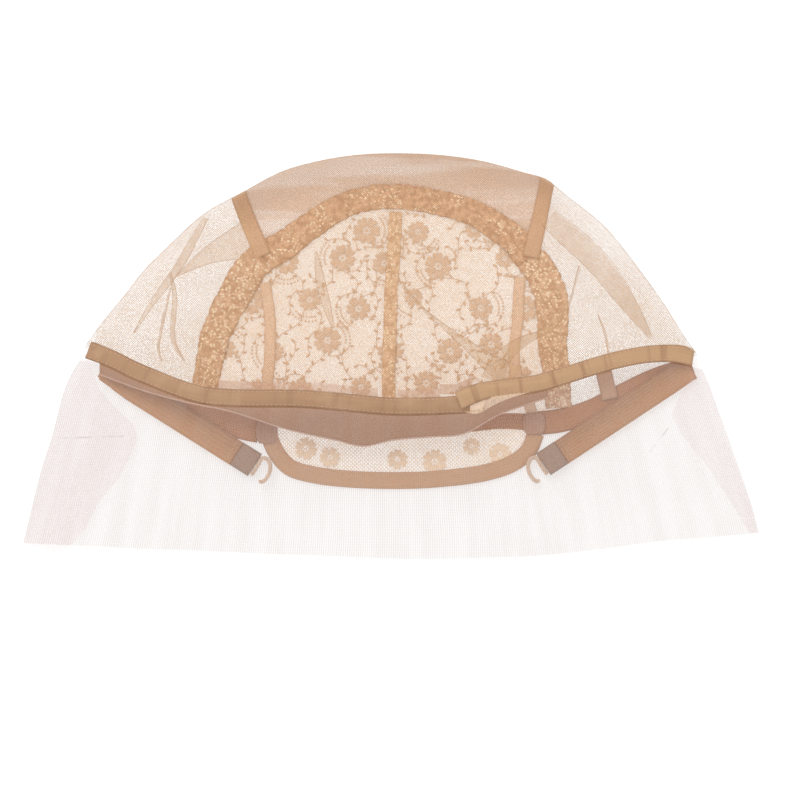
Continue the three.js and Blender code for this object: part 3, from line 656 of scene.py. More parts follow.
copy_tree, copy_entry, copy_real = repeat_tree("motif_copies", {"Motif": "Object", "Finish": "Material"})
copy_on = copy_tree.nodes.new("GeometryNodeInstanceOnPoints")
copy_motif = copy_tree.nodes.new("GeometryNodeObjectInfo")
copy_turn = copy_tree.nodes.new("GeometryNodeInputNamedAttribute")
copy_turn.inputs["Name"].default_value = "turn"
copy_size = copy_tree.nodes.new("GeometryNodeInputNamedAttribute")
copy_size.inputs["Name"].default_value = "size"
copy_spin = copy_tree.nodes.new("ShaderNodeCombineXYZ")
for source_socket, target_socket in (
    (copy_entry.outputs["Geometry"], copy_on.inputs["Points"]),
    (copy_entry.outputs["Motif"], copy_motif.inputs["Object"]),
    (copy_motif.outputs["Geometry"], copy_on.inputs["Instance"]),
    (copy_turn.outputs["Attribute"], copy_spin.inputs["Z"]),
    (copy_spin.outputs["Vector"], copy_on.inputs["Rotation"]),
    (copy_size.outputs["Attribute"], copy_on.inputs["Scale"]),
    (copy_on.outputs["Instances"], copy_real.inputs["Geometry"]),
):
    copy_tree.links.new(source_socket, target_socket)

vine_tree, vine_entry, vine_real = repeat_tree(
    "vine", {"Leaf": "Object", "Spacing": "Float", "Yarn": "Float", "Lean": "Float", "Finish": "Material"}
)
vine_curve = vine_tree.nodes.new("GeometryNodeMeshToCurve")
vine_steps = vine_tree.nodes.new("GeometryNodeResampleCurve")
vine_steps.mode = "LENGTH"
vine_section = vine_tree.nodes.new("GeometryNodeCurvePrimitiveCircle")
vine_section.inputs["Resolution"].default_value = 6
vine_stem = vine_tree.nodes.new("GeometryNodeCurveToMesh")
vine_stem.inputs["Fill Caps"].default_value = True
vine_leaf = vine_tree.nodes.new("GeometryNodeObjectInfo")
vine_on = vine_tree.nodes.new("GeometryNodeInstanceOnPoints")
vine_tangent = vine_tree.nodes.new("GeometryNodeInputTangent")
vine_align = vine_tree.nodes.new("FunctionNodeAlignRotationToVector")
vine_align.axis = "X"
vine_index = vine_tree.nodes.new("GeometryNodeInputIndex")
vine_even = vine_tree.nodes.new("ShaderNodeMath")
vine_even.operation = "PINGPONG"
vine_even.inputs[1].default_value = 1.0
vine_lean = vine_tree.nodes.new("ShaderNodeMath")
vine_lean.operation = "MULTIPLY_ADD"
vine_centre = vine_tree.nodes.new("ShaderNodeMath")
vine_centre.operation = "MULTIPLY"
vine_centre.inputs[1].default_value = -0.5
vine_spin = vine_tree.nodes.new("FunctionNodeAxisAngleToRotation")
vine_spin.inputs["Axis"].default_value = (0.0, 0.0, 1.0)
vine_turn = vine_tree.nodes.new("FunctionNodeRotateRotation")
vine_turn.rotation_space = "LOCAL"
vine_join = vine_tree.nodes.new("GeometryNodeJoinGeometry")
for source_socket, target_socket in (
    (vine_entry.outputs["Geometry"], vine_curve.inputs["Mesh"]),
    (vine_curve.outputs["Curve"], vine_steps.inputs["Curve"]),
    (vine_entry.outputs["Spacing"], vine_steps.inputs["Length"]),
    (vine_curve.outputs["Curve"], vine_stem.inputs["Curve"]),
    (vine_entry.outputs["Yarn"], vine_section.inputs["Radius"]),
    (vine_section.outputs["Curve"], vine_stem.inputs["Profile Curve"]),
    (vine_entry.outputs["Leaf"], vine_leaf.inputs["Object"]),
    (vine_steps.outputs["Curve"], vine_on.inputs["Points"]),
    (vine_leaf.outputs["Geometry"], vine_on.inputs["Instance"]),
    (vine_tangent.outputs["Tangent"], vine_align.inputs["Vector"]),
    (vine_index.outputs["Index"], vine_even.inputs[0]),
    (vine_entry.outputs["Lean"], vine_centre.inputs[0]),
    (vine_even.outputs[0], vine_lean.inputs[0]),
    (vine_entry.outputs["Lean"], vine_lean.inputs[1]),
    (vine_centre.outputs[0], vine_lean.inputs[2]),
    (vine_lean.outputs[0], vine_spin.inputs["Angle"]),
    (vine_align.outputs["Rotation"], vine_turn.inputs["Rotation"]),
    (vine_spin.outputs["Rotation"], vine_turn.inputs["Rotate By"]),
    (vine_turn.outputs["Rotation"], vine_on.inputs["Rotation"]),
    (vine_on.outputs["Instances"], vine_join.inputs["Geometry"]),
    (vine_stem.outputs["Mesh"], vine_join.inputs["Geometry"]),
    (vine_join.outputs["Geometry"], vine_real.inputs["Geometry"]),
):
    vine_tree.links.new(source_socket, target_socket)

gimp_look = Finish("lace_gimp", Roughness=0.7, Sheen_Weight=0.2)
gimp_inputs = {"Vector": gimp_look.place, "Scale": (2400.0, 700.0, 1.0)}
gimp_way = gimp_look.add("ShaderNodeMapping", gimp_inputs).outputs["Vector"]
gimp_fill = gimp_look.noise(1.0, 2.0, gimp_way)
gimp_look.colour(gimp_look.mix(gimp_look.noise(260.0, 2.0), linear(238, 206, 178), linear(214, 180, 152)))
gimp_look.bump(gimp_fill, 0.00012)


def cord_finish(name, colour, shade):
    """Soft thick lace yarn with a little colour change."""
    made = Finish(name, Roughness=0.7, Sheen_Weight=0.2)
    made.colour(made.mix(made.noise(300.0, 2.0), linear(*colour), linear(*shade)))
    made.bump(made.noise(1500.0, 2.0), 0.0001)
    return made.material


lace_cord = cord_finish("lace_cord", (232, 198, 166), (210, 172, 140))
nape_gimp = cord_finish("nape_gimp", (255, 232, 204), (244, 212, 178))
flower_random = np.random.default_rng(11)
lace_field = np.vstack((arch[20:-20], nape_seam_part[::-1]))
nape_field = np.vstack((nape_seam_part, nape_edge[::-1]))


def inside(point, field):
    """Whether a plan point lies inside a closed line."""
    x, y = point
    after = np.roll(field, -1, axis=0)
    crosses = (field[:, 1] > y) != (after[:, 1] > y)
    rise = np.where(after[:, 1] == field[:, 1], 1e-9, after[:, 1] - field[:, 1])
    reach = field[:, 0] + (y - field[:, 1]) * (after[:, 0] - field[:, 0]) / rise
    return bool((crosses & (x < reach)).sum() % 2)


def clear_of(point, field, distance):
    """Whether a point inside a field keeps a distance from its edge."""
    return inside(point, field) and np.linalg.norm(field - point, axis=1).min() > distance


flowers, grid_places = [], {}
for row in range(-3, 5):
    for column in range(-4, 5):
        shift_across = flower_random.uniform(-flower_jitter_across, flower_jitter_across)
        shift_up = flower_random.uniform(-flower_jitter_up, flower_jitter_up)
        x = (column + 0.5 * (row % 2)) * flower_step_across + shift_across
        y = row * flower_step_up + flower_row_shift + shift_up
        place = np.array((x, y))
        if clear_of(place, lace_field, flower_margin):
            grid_places[row, column] = place
            flowers.append(place)
for place in nape_places:
    if clear_of(np.array(place), nape_field, nape_flower_margin):
        flowers.append(np.array(place))
petals = []
for k in range(petal_count):
    angle = k * 2 * math.pi / petal_count
    out = np.array((math.cos(angle), math.sin(angle)))
    aside = np.array((-out[1], out[0]))
    heart = 0.56 * flower_radius * out
    petals.append((heart, 0.31 * flower_radius, 0.3 * flower_radius, angle, gimp_thickness))
    for hand in (-1.0, 1.0):
        lobe = (0.76 * out + 0.19 * hand * aside) * flower_radius
        petals.append((lobe, 0.2 * flower_radius, 0.17 * flower_radius, angle, gimp_thickness, 9))
for k in range(eyelet_bars):
    angle = (k + 0.5) * 2 * math.pi / eyelet_bars
    reach = 0.27 * flower_radius * np.array((math.cos(angle), math.sin(angle)))
    petals.append((reach, 0.11 * flower_radius, 0.035 * flower_radius, angle, gimp_thickness, 6))
petals.append((np.zeros(2), 0.11 * flower_radius, 0.11 * flower_radius, 0.0, gimp_thickness, 8))
rosette = motif("rosette", petals)
leaf = motif("leaf", [(np.array((1.1, 0.0)), 1.2, 0.55, 0.0, gimp_thickness, 8)])
dot = motif("dot", [(np.zeros(2), 0.52, 0.52, 0.0, gimp_thickness, 8)])
flower_points = np.array([(*place, flower_level) for place in flowers])
flower_turns = flower_random.uniform(0.0, math.pi, len(flowers))
flower_sizes = flower_random.uniform(*flower_size_range, len(flowers))
flower_sizes[len(grid_places):] *= nape_flower_size
rosette_pieces = []
for name, group, finish in (
    ("lace_rosettes", slice(0, len(grid_places)), gimp_look.material),
    ("nape_rosettes", slice(len(grid_places), None), nape_gimp),
):
    group_seeds = seeds(f"{name}_seeds", flower_points[group], flower_turns[group], flower_sizes[group])
    rosette_pieces.append(grown(name, group_seeds, copy_tree, {"Motif": rosette, "Finish": finish}))
vines, dots = [], []
for (row, column), place in grid_places.items():
    for reach_row, reach_column in ((row + 1, column + row % 2), (row + 1, column + row % 2 - 1)):
        other = grid_places.get((reach_row, reach_column))
        if other is None:
            continue
        share = np.linspace(0.2, 0.8, 24)[:, None]
        ahead = (other - place) / np.linalg.norm(other - place)
        bow = np.sin(share * 2 * math.pi * 1.2 + row) * flower_random.uniform(*vine_bow_range)
        line = place * (1 - share) + other * share + bow * np.array((-ahead[1], ahead[0]))
        vines.append(np.column_stack((line, np.full(len(line), flower_level + vine_lift))))
    spray = flower_random.uniform(0.0, 2 * math.pi)
    for arm in (0.0, 2.2):
        turn = np.linspace(0.0, 2.3, 24)
        curl = 7.2 + 1.4 * turn
        angle = spray + arm + turn * 0.55
        line = place + np.stack((curl * np.cos(angle), curl * np.sin(angle)), axis=-1)
        keep = [p for p in line if clear_of(p, lace_field, spray_margin)]
        if len(keep) > 8:
            vines.append(np.column_stack((keep, np.full(len(keep), flower_level + vine_lift))))
    for k in range(spray_dots):
        angle = spray + 3.6 + 0.16 * k
        for ring in spray_rings:
            spot = place + ring * np.array((math.cos(angle), math.sin(angle)))
            if clear_of(spot, lace_field, spray_margin):
                dots.append((*spot, flower_level))
vine_piece = grown(
    "lace_vines",
    paths("vine_paths", vines),
    vine_tree,
    {"Leaf": leaf, "Spacing": 0.0036, "Yarn": 0.00017, "Lean": 1.9, "Finish": lace_cord},
)
dot_piece = grown(
    "lace_dots",
    seeds("dot_seeds", dots, np.zeros(len(dots)), np.ones(len(dots))),
    copy_tree,
    {"Motif": dot, "Finish": gimp_look.material},
)
for motif_object in (rosette, leaf, dot):
    bpy.data.objects.remove(motif_object)
for piece in (*rosette_pieces, vine_piece, dot_piece):
    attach(piece, "root")

# Arch band
# A lace elastic follows the arch in three lengths. It is a soft openwork band with thicker edges, and
# it is sewn over the edges of the panels.
tape_low = 0.9
tape_high = 1.8
arch_half = arch_width / 2000
arch_foot_gaps = (3.9, 2.1)
arch_widths = {
    "arch_leg_left": (12.4, 12.8, 14.0, 15.6, 16.2, 15.4),
    "arch_band_top": (15.4, 13.6, 12.4, 12.4, 12.4, 12.4, 13.4, 15.0),
    "arch_leg_right": (15.0, 16.0, 15.4, 14.0, 12.8, 12.4),
}


def tape_grids(line, width, surface, start=0.0, end=1.0, step=1.2, columns=9):
    """The grid of a tape of one or more widths along a plan line, and its pattern: along and across."""
    length = length_of(line)
    widths = np.atleast_1d(width)
    shares = np.linspace(start, end, max(3, int((end - start) * length / step)))
    wide = np.interp(np.linspace(0.0, 1.0, len(shares)), np.linspace(0.0, 1.0, len(widths)), widths)
    halves = np.linspace(-0.5, 0.5, columns)
    plan = at(line, shares)[:, None] + side_of(line, shares)[:, None] * (wide[:, None] * halves)[..., None]
    pattern = np.stack(np.broadcast_arrays(shares[:, None] * length, halves * widths.min()), axis=-1)
    return raised(plan, surface), pattern


def wall_piece(name, grid, pattern, low, high, finish, edge=0.45):
    """A closed strip between two levels, thinner towards its long edges."""
    nu, nv = grid.shape[:2]
    low, high = (np.broadcast_to(np.reshape(level, (-1, 1)), (nu, 1)) for level in (low, high))
    across = np.linspace(-1.0, 1.0, nv)
    bulge = (edge + (1 - edge) * np.sqrt(1 - across**4))[None, :]
    centre, half = (low + high) / 2, (high - low) / 2
    normals = normals_of(grid)
    under = grid + normals * (centre - half * bulge)[..., None]
    over = grid + normals * (centre + half * bulge)[..., None]
    count = nu * nv
    top = grid_faces(nu, nv, count)
    bottom = grid_faces(nu, nv)[:, ::-1]
    i, j = np.arange(nu - 1), np.arange(nv - 1)
    near, far, start, end = i * nv, i * nv + nv - 1, j, (nu - 1) * nv + j
    sides = [
        np.stack((near, near + nv, near + nv + count, near + count), axis=-1),
        np.stack((far + count, far + nv + count, far + nv, far), axis=-1),
        np.stack((start + count, start + 1 + count, start + 1, start), axis=-1),
        np.stack((end, end + 1, end + 1 + count, end + count), axis=-1),
    ]
    points = np.vstack((under.reshape(-1, 3), over.reshape(-1, 3)))
    own = np.vstack((pattern.reshape(-1, 2), pattern.reshape(-1, 2)))
    return make_piece(name, points, np.vstack([bottom, top] + sides), own, finish)


def lace_elastic_finish(name, colour, shade, half, holes):
    """Openwork elastic: clusters of small bright holes between knotted bars, and an uneven edge."""
    made = Finish(name, Roughness=0.7, Sheen_Weight=0.2)
    cells = made.add("ShaderNodeTexVoronoi", {"Vector": made.stretched(720.0, 860.0), "Scale": 1.0})
    hole = made.ease(cells.outputs["Distance"], 0.24, 0.5, 1.0, 0.0)
    cluster = made.ease(made.noise(130.0, 2.0), 0.62 - holes, 0.7 - holes)
    edge = made.calc("ABSOLUTE", made.across)
    rim = made.ease(edge, half * 0.84, half * 0.92)
    open_part = made.calc("MULTIPLY", made.calc("MULTIPLY", hole, cluster), made.calc("SUBTRACT", 1.0, rim))
    scallop = made.calc("MULTIPLY", made.noise(1.0, 2.0, made.stretched(420.0, 60.0)), half * 0.36)
    past = made.calc("GREATER_THAN", made.calc("ADD", edge, scallop), half * 1.14)
    made.alpha(made.calc("SUBTRACT", 1.0, past))
    knots = made.ease(made.noise(420.0, 3.0), 0.35, 0.65)
    body = made.mix(knots, linear(*colour), linear(*shade))
    made.colour(made.mix(open_part, body, linear(255, 232, 200)))
    made.bump(made.calc("ADD", knots, made.calc("MULTIPLY", hole, -0.6)), 0.0003)
    return made.material


arch_top_elastic = lace_elastic_finish("arch_top_elastic", (228, 183, 145), (194, 146, 110), arch_half, 0.16)
arch_leg_elastic = lace_elastic_finish("arch_leg_elastic", (228, 186, 152), (198, 152, 116), arch_half, 0.4)
yarn_tree, yarn_entry, yarn_real = repeat_tree("yarn", {"Radius": "Float", "Finish": "Material"})
yarn_curve = yarn_tree.nodes.new("GeometryNodeMeshToCurve")
yarn_section = yarn_tree.nodes.new("GeometryNodeCurvePrimitiveCircle")
yarn_section.inputs["Resolution"].default_value = 6
yarn_tube = yarn_tree.nodes.new("GeometryNodeCurveToMesh")
yarn_tube.inputs["Fill Caps"].default_value = True
yarn_tree.links.new(yarn_entry.outputs["Geometry"], yarn_curve.inputs["Mesh"])
yarn_tree.links.new(yarn_entry.outputs["Radius"], yarn_section.inputs["Radius"])
yarn_tree.links.new(yarn_curve.outputs["Curve"], yarn_tube.inputs["Curve"])
yarn_tree.links.new(yarn_section.outputs["Curve"], yarn_tube.inputs["Profile Curve"])
yarn_tree.links.new(yarn_tube.outputs["Mesh"], yarn_real.inputs["Geometry"])

stitch_tree, stitch_entry, stitch_real = repeat_tree(
    "running_stitch", {"Spacing": "Float", "Long": "Float", "Thick": "Float", "Finish": "Material"}
)
stitch_curve = stitch_tree.nodes.new("GeometryNodeMeshToCurve")
stitch_steps = stitch_tree.nodes.new("GeometryNodeResampleCurve")
stitch_steps.mode = "LENGTH"
stitch_grain = stitch_tree.nodes.new("GeometryNodeMeshUVSphere")
stitch_grain.inputs["Segments"].default_value = 6
stitch_grain.inputs["Rings"].default_value = 4
stitch_grain.inputs["Radius"].default_value = 1.0
stitch_size = stitch_tree.nodes.new("ShaderNodeCombineXYZ")
stitch_on = stitch_tree.nodes.new("GeometryNodeInstanceOnPoints")
stitch_tangent = stitch_tree.nodes.new("GeometryNodeInputTangent")
stitch_align = stitch_tree.nodes.new("FunctionNodeAlignRotationToVector")
stitch_align.axis = "X"
for source_socket, target_socket in (
    (stitch_entry.outputs["Geometry"], stitch_curve.inputs["Mesh"]),
    (stitch_curve.outputs["Curve"], stitch_steps.inputs["Curve"]),
    (stitch_entry.outputs["Spacing"], stitch_steps.inputs["Length"]),
    (stitch_steps.outputs["Curve"], stitch_on.inputs["Points"]),
    (stitch_grain.outputs["Mesh"], stitch_on.inputs["Instance"]),
    (stitch_entry.outputs["Long"], stitch_size.inputs["X"]),
    (stitch_entry.outputs["Thick"], stitch_size.inputs["Y"]),
    (stitch_entry.outputs["Thick"], stitch_size.inputs["Z"]),
    (stitch_size.outputs["Vector"], stitch_on.inputs["Scale"]),
    (stitch_tangent.outputs["Tangent"], stitch_align.inputs["Vector"]),
    (stitch_align.outputs["Rotation"], stitch_on.inputs["Rotation"]),
    (stitch_on.outputs["Instances"], stitch_real.inputs["Geometry"]),
):
    stitch_tree.links.new(source_socket, target_socket)


def sewing_line(line, offset, surface, level, start=0.0, end=1.0, swing=0.0, step=1.0):
    """A sewing line beside a plan line on a surface, straight or swinging from side to side."""
    count = max(3, int((end - start) * length_of(line) / step))
    shares = np.linspace(start, end, count)
    side_way = swing * (1 - 2 * (np.arange(count) % 2))
    plan = at(line, shares) + side_of(line, shares) * (offset + side_way)[:, None]
    return np.column_stack((plan, surface(plan[:, 0], plan[:, 1]) + level))


def thread_finish(name, colour, shade):
    """Spun sewing thread: a twist along it and a little colour change."""
    made = Finish(name, Roughness=0.5, Sheen_Weight=0.3)
    made.colour(made.mix(made.noise(500.0, 2.0), linear(*colour), linear(*shade)))
    made.bump(made.noise(3500.0, 1.0), 0.00006)
    return made.material


tan_thread = thread_finish("tan_thread", (226, 188, 154), (198, 154, 120))
arch_from = arch_foot_gaps[0] / length_of(arch)
arch_to = 1.0 - arch_foot_gaps[1] / length_of(arch)
arch_parts = {
    "arch_leg_left": (arch_from, junction["left"]),
    "arch_band_top": (junction["left"], junction["right"]),
    "arch_leg_right": (junction["right"], arch_to),
}
for part, (start, end) in arch_parts.items():
    grid, pattern = tape_grids(arch, arch_widths[part], back_surface, start, end)
    elastic = arch_top_elastic if part == "arch_band_top" else arch_leg_elastic
    band = wall_piece(f"{part}_elastic", grid, pattern, tape_low, tape_high, elastic)
    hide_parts(part)
    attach(band, "root")
arch_sewing = []
for offset in (-arch_width * 0.32, arch_width * 0.32):
    arch_sewing.append(sewing_line(arch, offset, back_surface, tape_high, arch_from, arch_to, 0.7, 1.3))
arch_zigzag = grown(
    "arch_zigzag", paths("arch_sewing", arch_sewing), yarn_tree, {"Radius": 0.00014, "Finish": tan_thread}
)
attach(arch_zigzag, "root")

# Crown tapes
# A satin tape covers the seam between the crown panel and the side net on each side. It starts on the
# arch band, which it lies over, and goes over the fold. It is stitched along both edges.
crown_tape_width = 8.0
crown_seam_from = 0.42
crown_seam_to = 0.86
fold_tuck = 0.85


def satin_finish(name, colour, shade, light, half, vary=0.5, ticks=0.0):
    """Woven satin tape: fine cross picks, long soft streaks, random paler patches and darker selvedges."""
    made = Finish(name, Roughness=0.55, Sheen_Weight=0.25)
    pick = made.ridge(made.along, 0.00055, 0.5, 0.4)
    warp = made.ridge(made.across, 0.0006, 0.5, 0.4)
    streak = made.noise(1.0, 3.0, made.stretched(60.0, 900.0))
    cloud = made.noise(55.0, 3.0)
    edge = made.ease(made.calc("ABSOLUTE", made.across), half * 0.7, half * 0.96)
    tone = made.calc("ADD", made.calc("MULTIPLY", streak, vary), made.calc("MULTIPLY", edge, 0.45))
    tick = made.ease(made.noise(1.0, 2.0, made.stretched(190.0, 14.0)), 0.5, 0.7)
    tone = made.calc("ADD", tone, made.calc("MULTIPLY", tick, ticks))
    body = made.mix(tone, linear(*colour), linear(*shade))
    # Random paler patches over the whole tape.
    pale_patch = made.ease(cloud, 0.5, 0.72, 0.0, 0.5)
    made.colour(made.mix(pale_patch, body, linear(*light)))
    cross = made.calc("MULTIPLY", pick, warp)
    made.bump(made.calc("ADD", cross, made.calc("MULTIPLY", streak, 0.7)), 0.00016)
    return made.material


crown_satin = satin_finish("crown_satin", (220, 178, 142), (202, 158, 124), (232, 194, 162), 0.004)
for side in ("left", "right"):
    line = crown_tape_lines[side]
    sideways = side_of(line, 0.5) * (crown_tape_width / 2)
    foot = at(line, 0.0)
    half = crown_tape_width / 2 / length_of(outline)
    tape_spot = patch(
        straight(foot + sideways, foot - sideways),
        stretch(outline, tape_foot[side] - half, tape_foot[side] + half),
        straight(foot + sideways, at(outline, tape_foot[side] - half)),
        straight(foot - sideways, at(outline, tape_foot[side] + half)),
    )
    grid = raised(fold_plan(tape_spot, 8, 12, 16), back_surface)
    pattern = cloth_pattern(grid)
    along = np.linalg.norm(pattern - pattern[:, :1], axis=-1)
    across = np.broadcast_to(np.linspace(-0.5, 0.5, 9)[:, None] * crown_tape_width, along.shape)
    grid = grid.transpose(1, 0, 2)
    pattern = np.stack((along, across), axis=-1).transpose(1, 0, 2)
    over_arch = np.interp(pattern[:, 4, 0], (arch_width * 0.6, arch_width), (1.0, 0.0))
    tuck = tape_low * (1 - panel_levels(grid[:, 4, :2])[:, 0] / panel_level) * fold_tuck
    low, high = tape_low + over_arch - tuck, tape_high + over_arch - tuck
    tape = wall_piece(f"crown_tape_{side}_satin", grid[:, ::-1], pattern[:, ::-1], low, high, crown_satin)
    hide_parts(f"crown_tape_{side}")
    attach(tape, "root")
    seams = [
        sewing_line(line, offset, back_surface, tape_high, crown_seam_from, crown_seam_to)
        for offset in (-crown_tape_width * 0.36, crown_tape_width * 0.36)
    ]
    stitches = grown(
        f"crown_stitches_{side}",
        paths("crown_seams", seams),
        stitch_tree,
        {"Spacing": 0.0022, "Long": 0.0008, "Thick": 0.00016, "Finish": tan_thread},
    )
    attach(stitches, "root")

# Back tapes and centre tape
# Folded strips of soft tape hide the seams of the floral panels, one long strip on each side and one
# down the middle from the arch band to the nape.
back_tape_tables = {
    "left": [
        (-0.425, 0.48), (-0.409, 0.331), (-0.396, 0.186), (-0.395, 0.031), (-0.402, -0.128), (-0.41, -0.256),
        (-0.413, -0.36),
    ],
    "right": [
        (0.435, 0.52), (0.419, 0.331), (0.415, 0.176), (0.402, 0.006), (0.41, -0.123), (0.44, -0.215),
        (0.462, -0.31),
    ],
}
back_tape_width = 5.2
centre_tape_width = 6.4
centre_half = centre_tape_width / 2000
back_seam_level = tape_high - 0.1


def clear_share(line, other, distance):
    """The share of a line past which it stays clear of another."""
    near = np.linalg.norm(line[:, None] - other[None], axis=-1).min(1)
    first = np.argmax(near >= distance)
    return length_of(line[: first + 1]) / length_of(line)


back_satin = satin_finish("back_satin", (244, 210, 180), (218, 176, 142), (250, 220, 194), 0.0026)
back_seams = []
for side, table in back_tape_tables.items():
    line = plan_line(table)
    start = clear_share(line, arch, (arch_width + back_tape_width) / 2 + layer_gap)
    grid, pattern = tape_grids(line, back_tape_width, back_surface, start)
    tape = wall_piece(f"back_tape_{side}_satin", grid, pattern, tape_low, tape_high, back_satin)
    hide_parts(f"back_tape_{side}")
    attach(tape, "root")
    for offset in (-back_tape_width * 0.3, back_tape_width * 0.34):
        back_seams.append(sewing_line(line, offset, back_surface, back_seam_level, start))
centre_elastic = lace_elastic_finish("centre_elastic", (238, 200, 162), (208, 164, 126), centre_half, 0.2)
start = clear_share(centre_line, arch, arch_width / 2 + 2 * layer_gap)
grid, pattern = tape_grids(centre_line, centre_tape_width, back_surface, start)
centre_tape = wall_piece("centre_tape_satin", grid, pattern, tape_low, tape_high, centre_elastic)
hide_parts("centre_tape")
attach(centre_tape, "root")
for offset in (-centre_tape_width * 0.3, centre_tape_width * 0.3):
    back_seams.append(sewing_line(centre_line, offset, back_surface, back_seam_level, start))
back_stitches = grown(
    "back_stitches",
    paths("back_seam_lines", back_seams),
    stitch_tree,
    {"Spacing": 0.0022, "Long": 0.0008, "Thick": 0.00015, "Finish": tan_thread},
)
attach(back_stitches, "root")

# Ear bands and stay
# A rosy band of doubled net over tape goes from each ear to the nape. The right one goes on narrower
# along the nape seam, and a short satin stay crosses it.
ear_band_tables = {
    "left": [
        (-0.945, -0.105), (-0.88, -0.155), (-0.786, -0.231), (-0.612, -0.322), (-0.46, -0.386),
        (-0.43, -0.394),
    ],
    "right": [
        (0.985, -0.07), (0.861, -0.135), (0.747, -0.22), (0.648, -0.297), (0.548, -0.342),
        (0.476, -0.355),
    ],
}
ear_band_widths = {"left": (5.0, 10.4, 11.0, 11.0, 11.0, 11.0), "right": (11.0, 11.0)}
nape_band_table = [(0.452, -0.348), (0.36, -0.345), (0.27, -0.372), (0.2, -0.392)]
nape_band_widths = (7.8, 7.2, 5.0, 2.4)
nape_band_high = tape_high - 0.2
stay_ends = ((0.692, -0.082), (0.714, -0.232))
stay_width = 7.4
over_tape_low = 1.9
over_tape_high = 3.0


def rosy_finish(name, colour, shade, light, half):
    """Two layers of rosy net over tape, with a dotted look where their threads cross, a random darker mottle
    that is partly uneven colour and partly painted shade, and darker edges.
    """
    made = Finish(name, Roughness=0.8, Sheen_Weight=0.2)
    first = made.ridge(made.calc("ADD", made.along, made.across), 0.0011, 0.4)
    second = made.ridge(made.calc("SUBTRACT", made.along, made.across), 0.0011, 0.4)
    dots = made.calc("MULTIPLY", first, second)
    edge = made.ease(made.calc("ABSOLUTE", made.across), half * 0.8, half * 0.97)
    # The random darker mottle is partly the bands' uneven colour and partly painted shade.
    cloud = made.calc("MULTIPLY", made.noise(70.0, 3.0), 0.7)
    tone = made.calc("ADD", cloud, made.calc("MULTIPLY", edge, 0.3))
    body = made.mix(tone, linear(*colour), linear(*shade))
    made.colour(made.mix(made.calc("MULTIPLY", dots, 0.6), body, linear(*light)))
    made.bump(made.calc("MAXIMUM", first, second), 0.0002)
    return made.material


ear_rosy = rosy_finish("ear_rosy", (190, 130, 88), (158, 100, 64), (218, 168, 126), 0.0055)
for side, table in ear_band_tables.items():
    grid, pattern = tape_grids(plan_line(table), ear_band_widths[side], back_surface)
    band = wall_piece(f"ear_band_{side}_net", grid, pattern, tape_low, tape_high, ear_rosy)
    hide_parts(f"ear_band_{side}")
    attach(band, "root")
grid, pattern = tape_grids(plan_line(nape_band_table), nape_band_widths, back_surface)
nape_band = wall_piece("nape_seam_band", grid, pattern, tape_low, nape_band_high, ear_rosy)
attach(nape_band, "root")
stay_satin = satin_finish("stay_satin", (204, 160, 126), (178, 132, 100), (222, 186, 156), 0.0037)
stay_line = straight(plan_point(*stay_ends[0]), plan_point(*stay_ends[1]))
grid, pattern = tape_grids(stay_line, stay_width, back_surface)
ear_stay = wall_piece("ear_stay_satin", grid, pattern, over_tape_low, over_tape_high, stay_satin)
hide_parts("ear_stay")
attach(ear_stay, "root")

# Nape binding and corner tabs
# A thick elastic tape is folded over the edge of the nape lace. At its two ends it is gathered under
# a small folded tab.
binding_low = 0.1
binding_high = 2.3
corner_tabs = {"left": (-0.404, -0.405), "right": (0.466, -0.36)}
tab_length = 10.0
tab_widths = (7.4, 9.4, 10.0, 10.0, 9.8, 9.0, 6.8)


def elastic_finish(name, colour, shade, light, half, rib=0.0011, shade_slope=0.0):
    """Woven elastic: raised ribs along it, fine covered picks across, a darker edge and, if asked, painted
    shade that darkens it from one long side to the other.
    """
    made = Finish(name, Roughness=0.65, Sheen_Weight=0.2)
    ribs = made.ridge(made.across, rib, 0.45, 0.4)
    picks = made.ridge(made.along, 0.0007, 0.5, 0.35)
    grain = made.noise(1.0, 3.0, made.stretched(120.0, 500.0))
    edge = made.ease(made.calc("ABSOLUTE", made.across), half * 0.82, half * 0.98)
    tone = made.calc("ADD", made.calc("MULTIPLY", grain, 0.55), made.calc("MULTIPLY", edge, 0.4))
    # Painted shade: a slope of darker tone across the width, from one long side to the other.
    tone = made.calc("ADD", tone, made.ease(made.across, -half, half, -shade_slope, shade_slope))
    body = made.mix(tone, linear(*colour), linear(*shade))
    lift = made.calc("MULTIPLY", made.calc("MULTIPLY", ribs, picks), 0.4)
    made.colour(made.mix(lift, body, linear(*light)))
    made.bump(made.calc("ADD", ribs, made.calc("MULTIPLY", picks, 0.5)), 0.00022)
    return made.material


binding_elastic = elastic_finish("binding_elastic", (203, 155, 116), (178, 130, 92), (218, 174, 134), 0.0039)
grid, pattern = tape_grids(binding, binding_width, back_surface)
nape_binding = wall_piece(
    "nape_binding_elastic", grid, pattern, binding_low, binding_high, binding_elastic, 0.15
)
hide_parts("nape_binding")
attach(nape_binding, "root")
binding_sewing = sewing_line(
    binding, binding_width * 0.18, back_surface, binding_high - 0.05, swing=0.6, step=1.2
)
binding_zigzag = grown(
    "binding_zigzag",
    paths("binding_sewing", [binding_sewing]),
    yarn_tree,
    {"Radius": 0.00014, "Finish": tan_thread},
)
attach(binding_zigzag, "root")
tab_elastic = elastic_finish("tab_elastic", (182, 136, 108), (148, 104, 80), (206, 164, 138), 0.0048)
for side, centre in corner_tabs.items():
    middle_point = plan_point(*centre)
    reach = np.array((0.0, tab_length / 2))
    tab_line = straight(middle_point + reach, middle_point - reach)
    grid, pattern = tape_grids(tab_line, tab_widths, back_surface, step=0.6)
    tab = wall_piece(
        f"corner_tab_{side}_elastic", grid, pattern, over_tape_low, over_tape_high, tab_elastic, 0.2
    )
    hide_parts(f"corner_tab_{side}")
    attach(tab, "root")

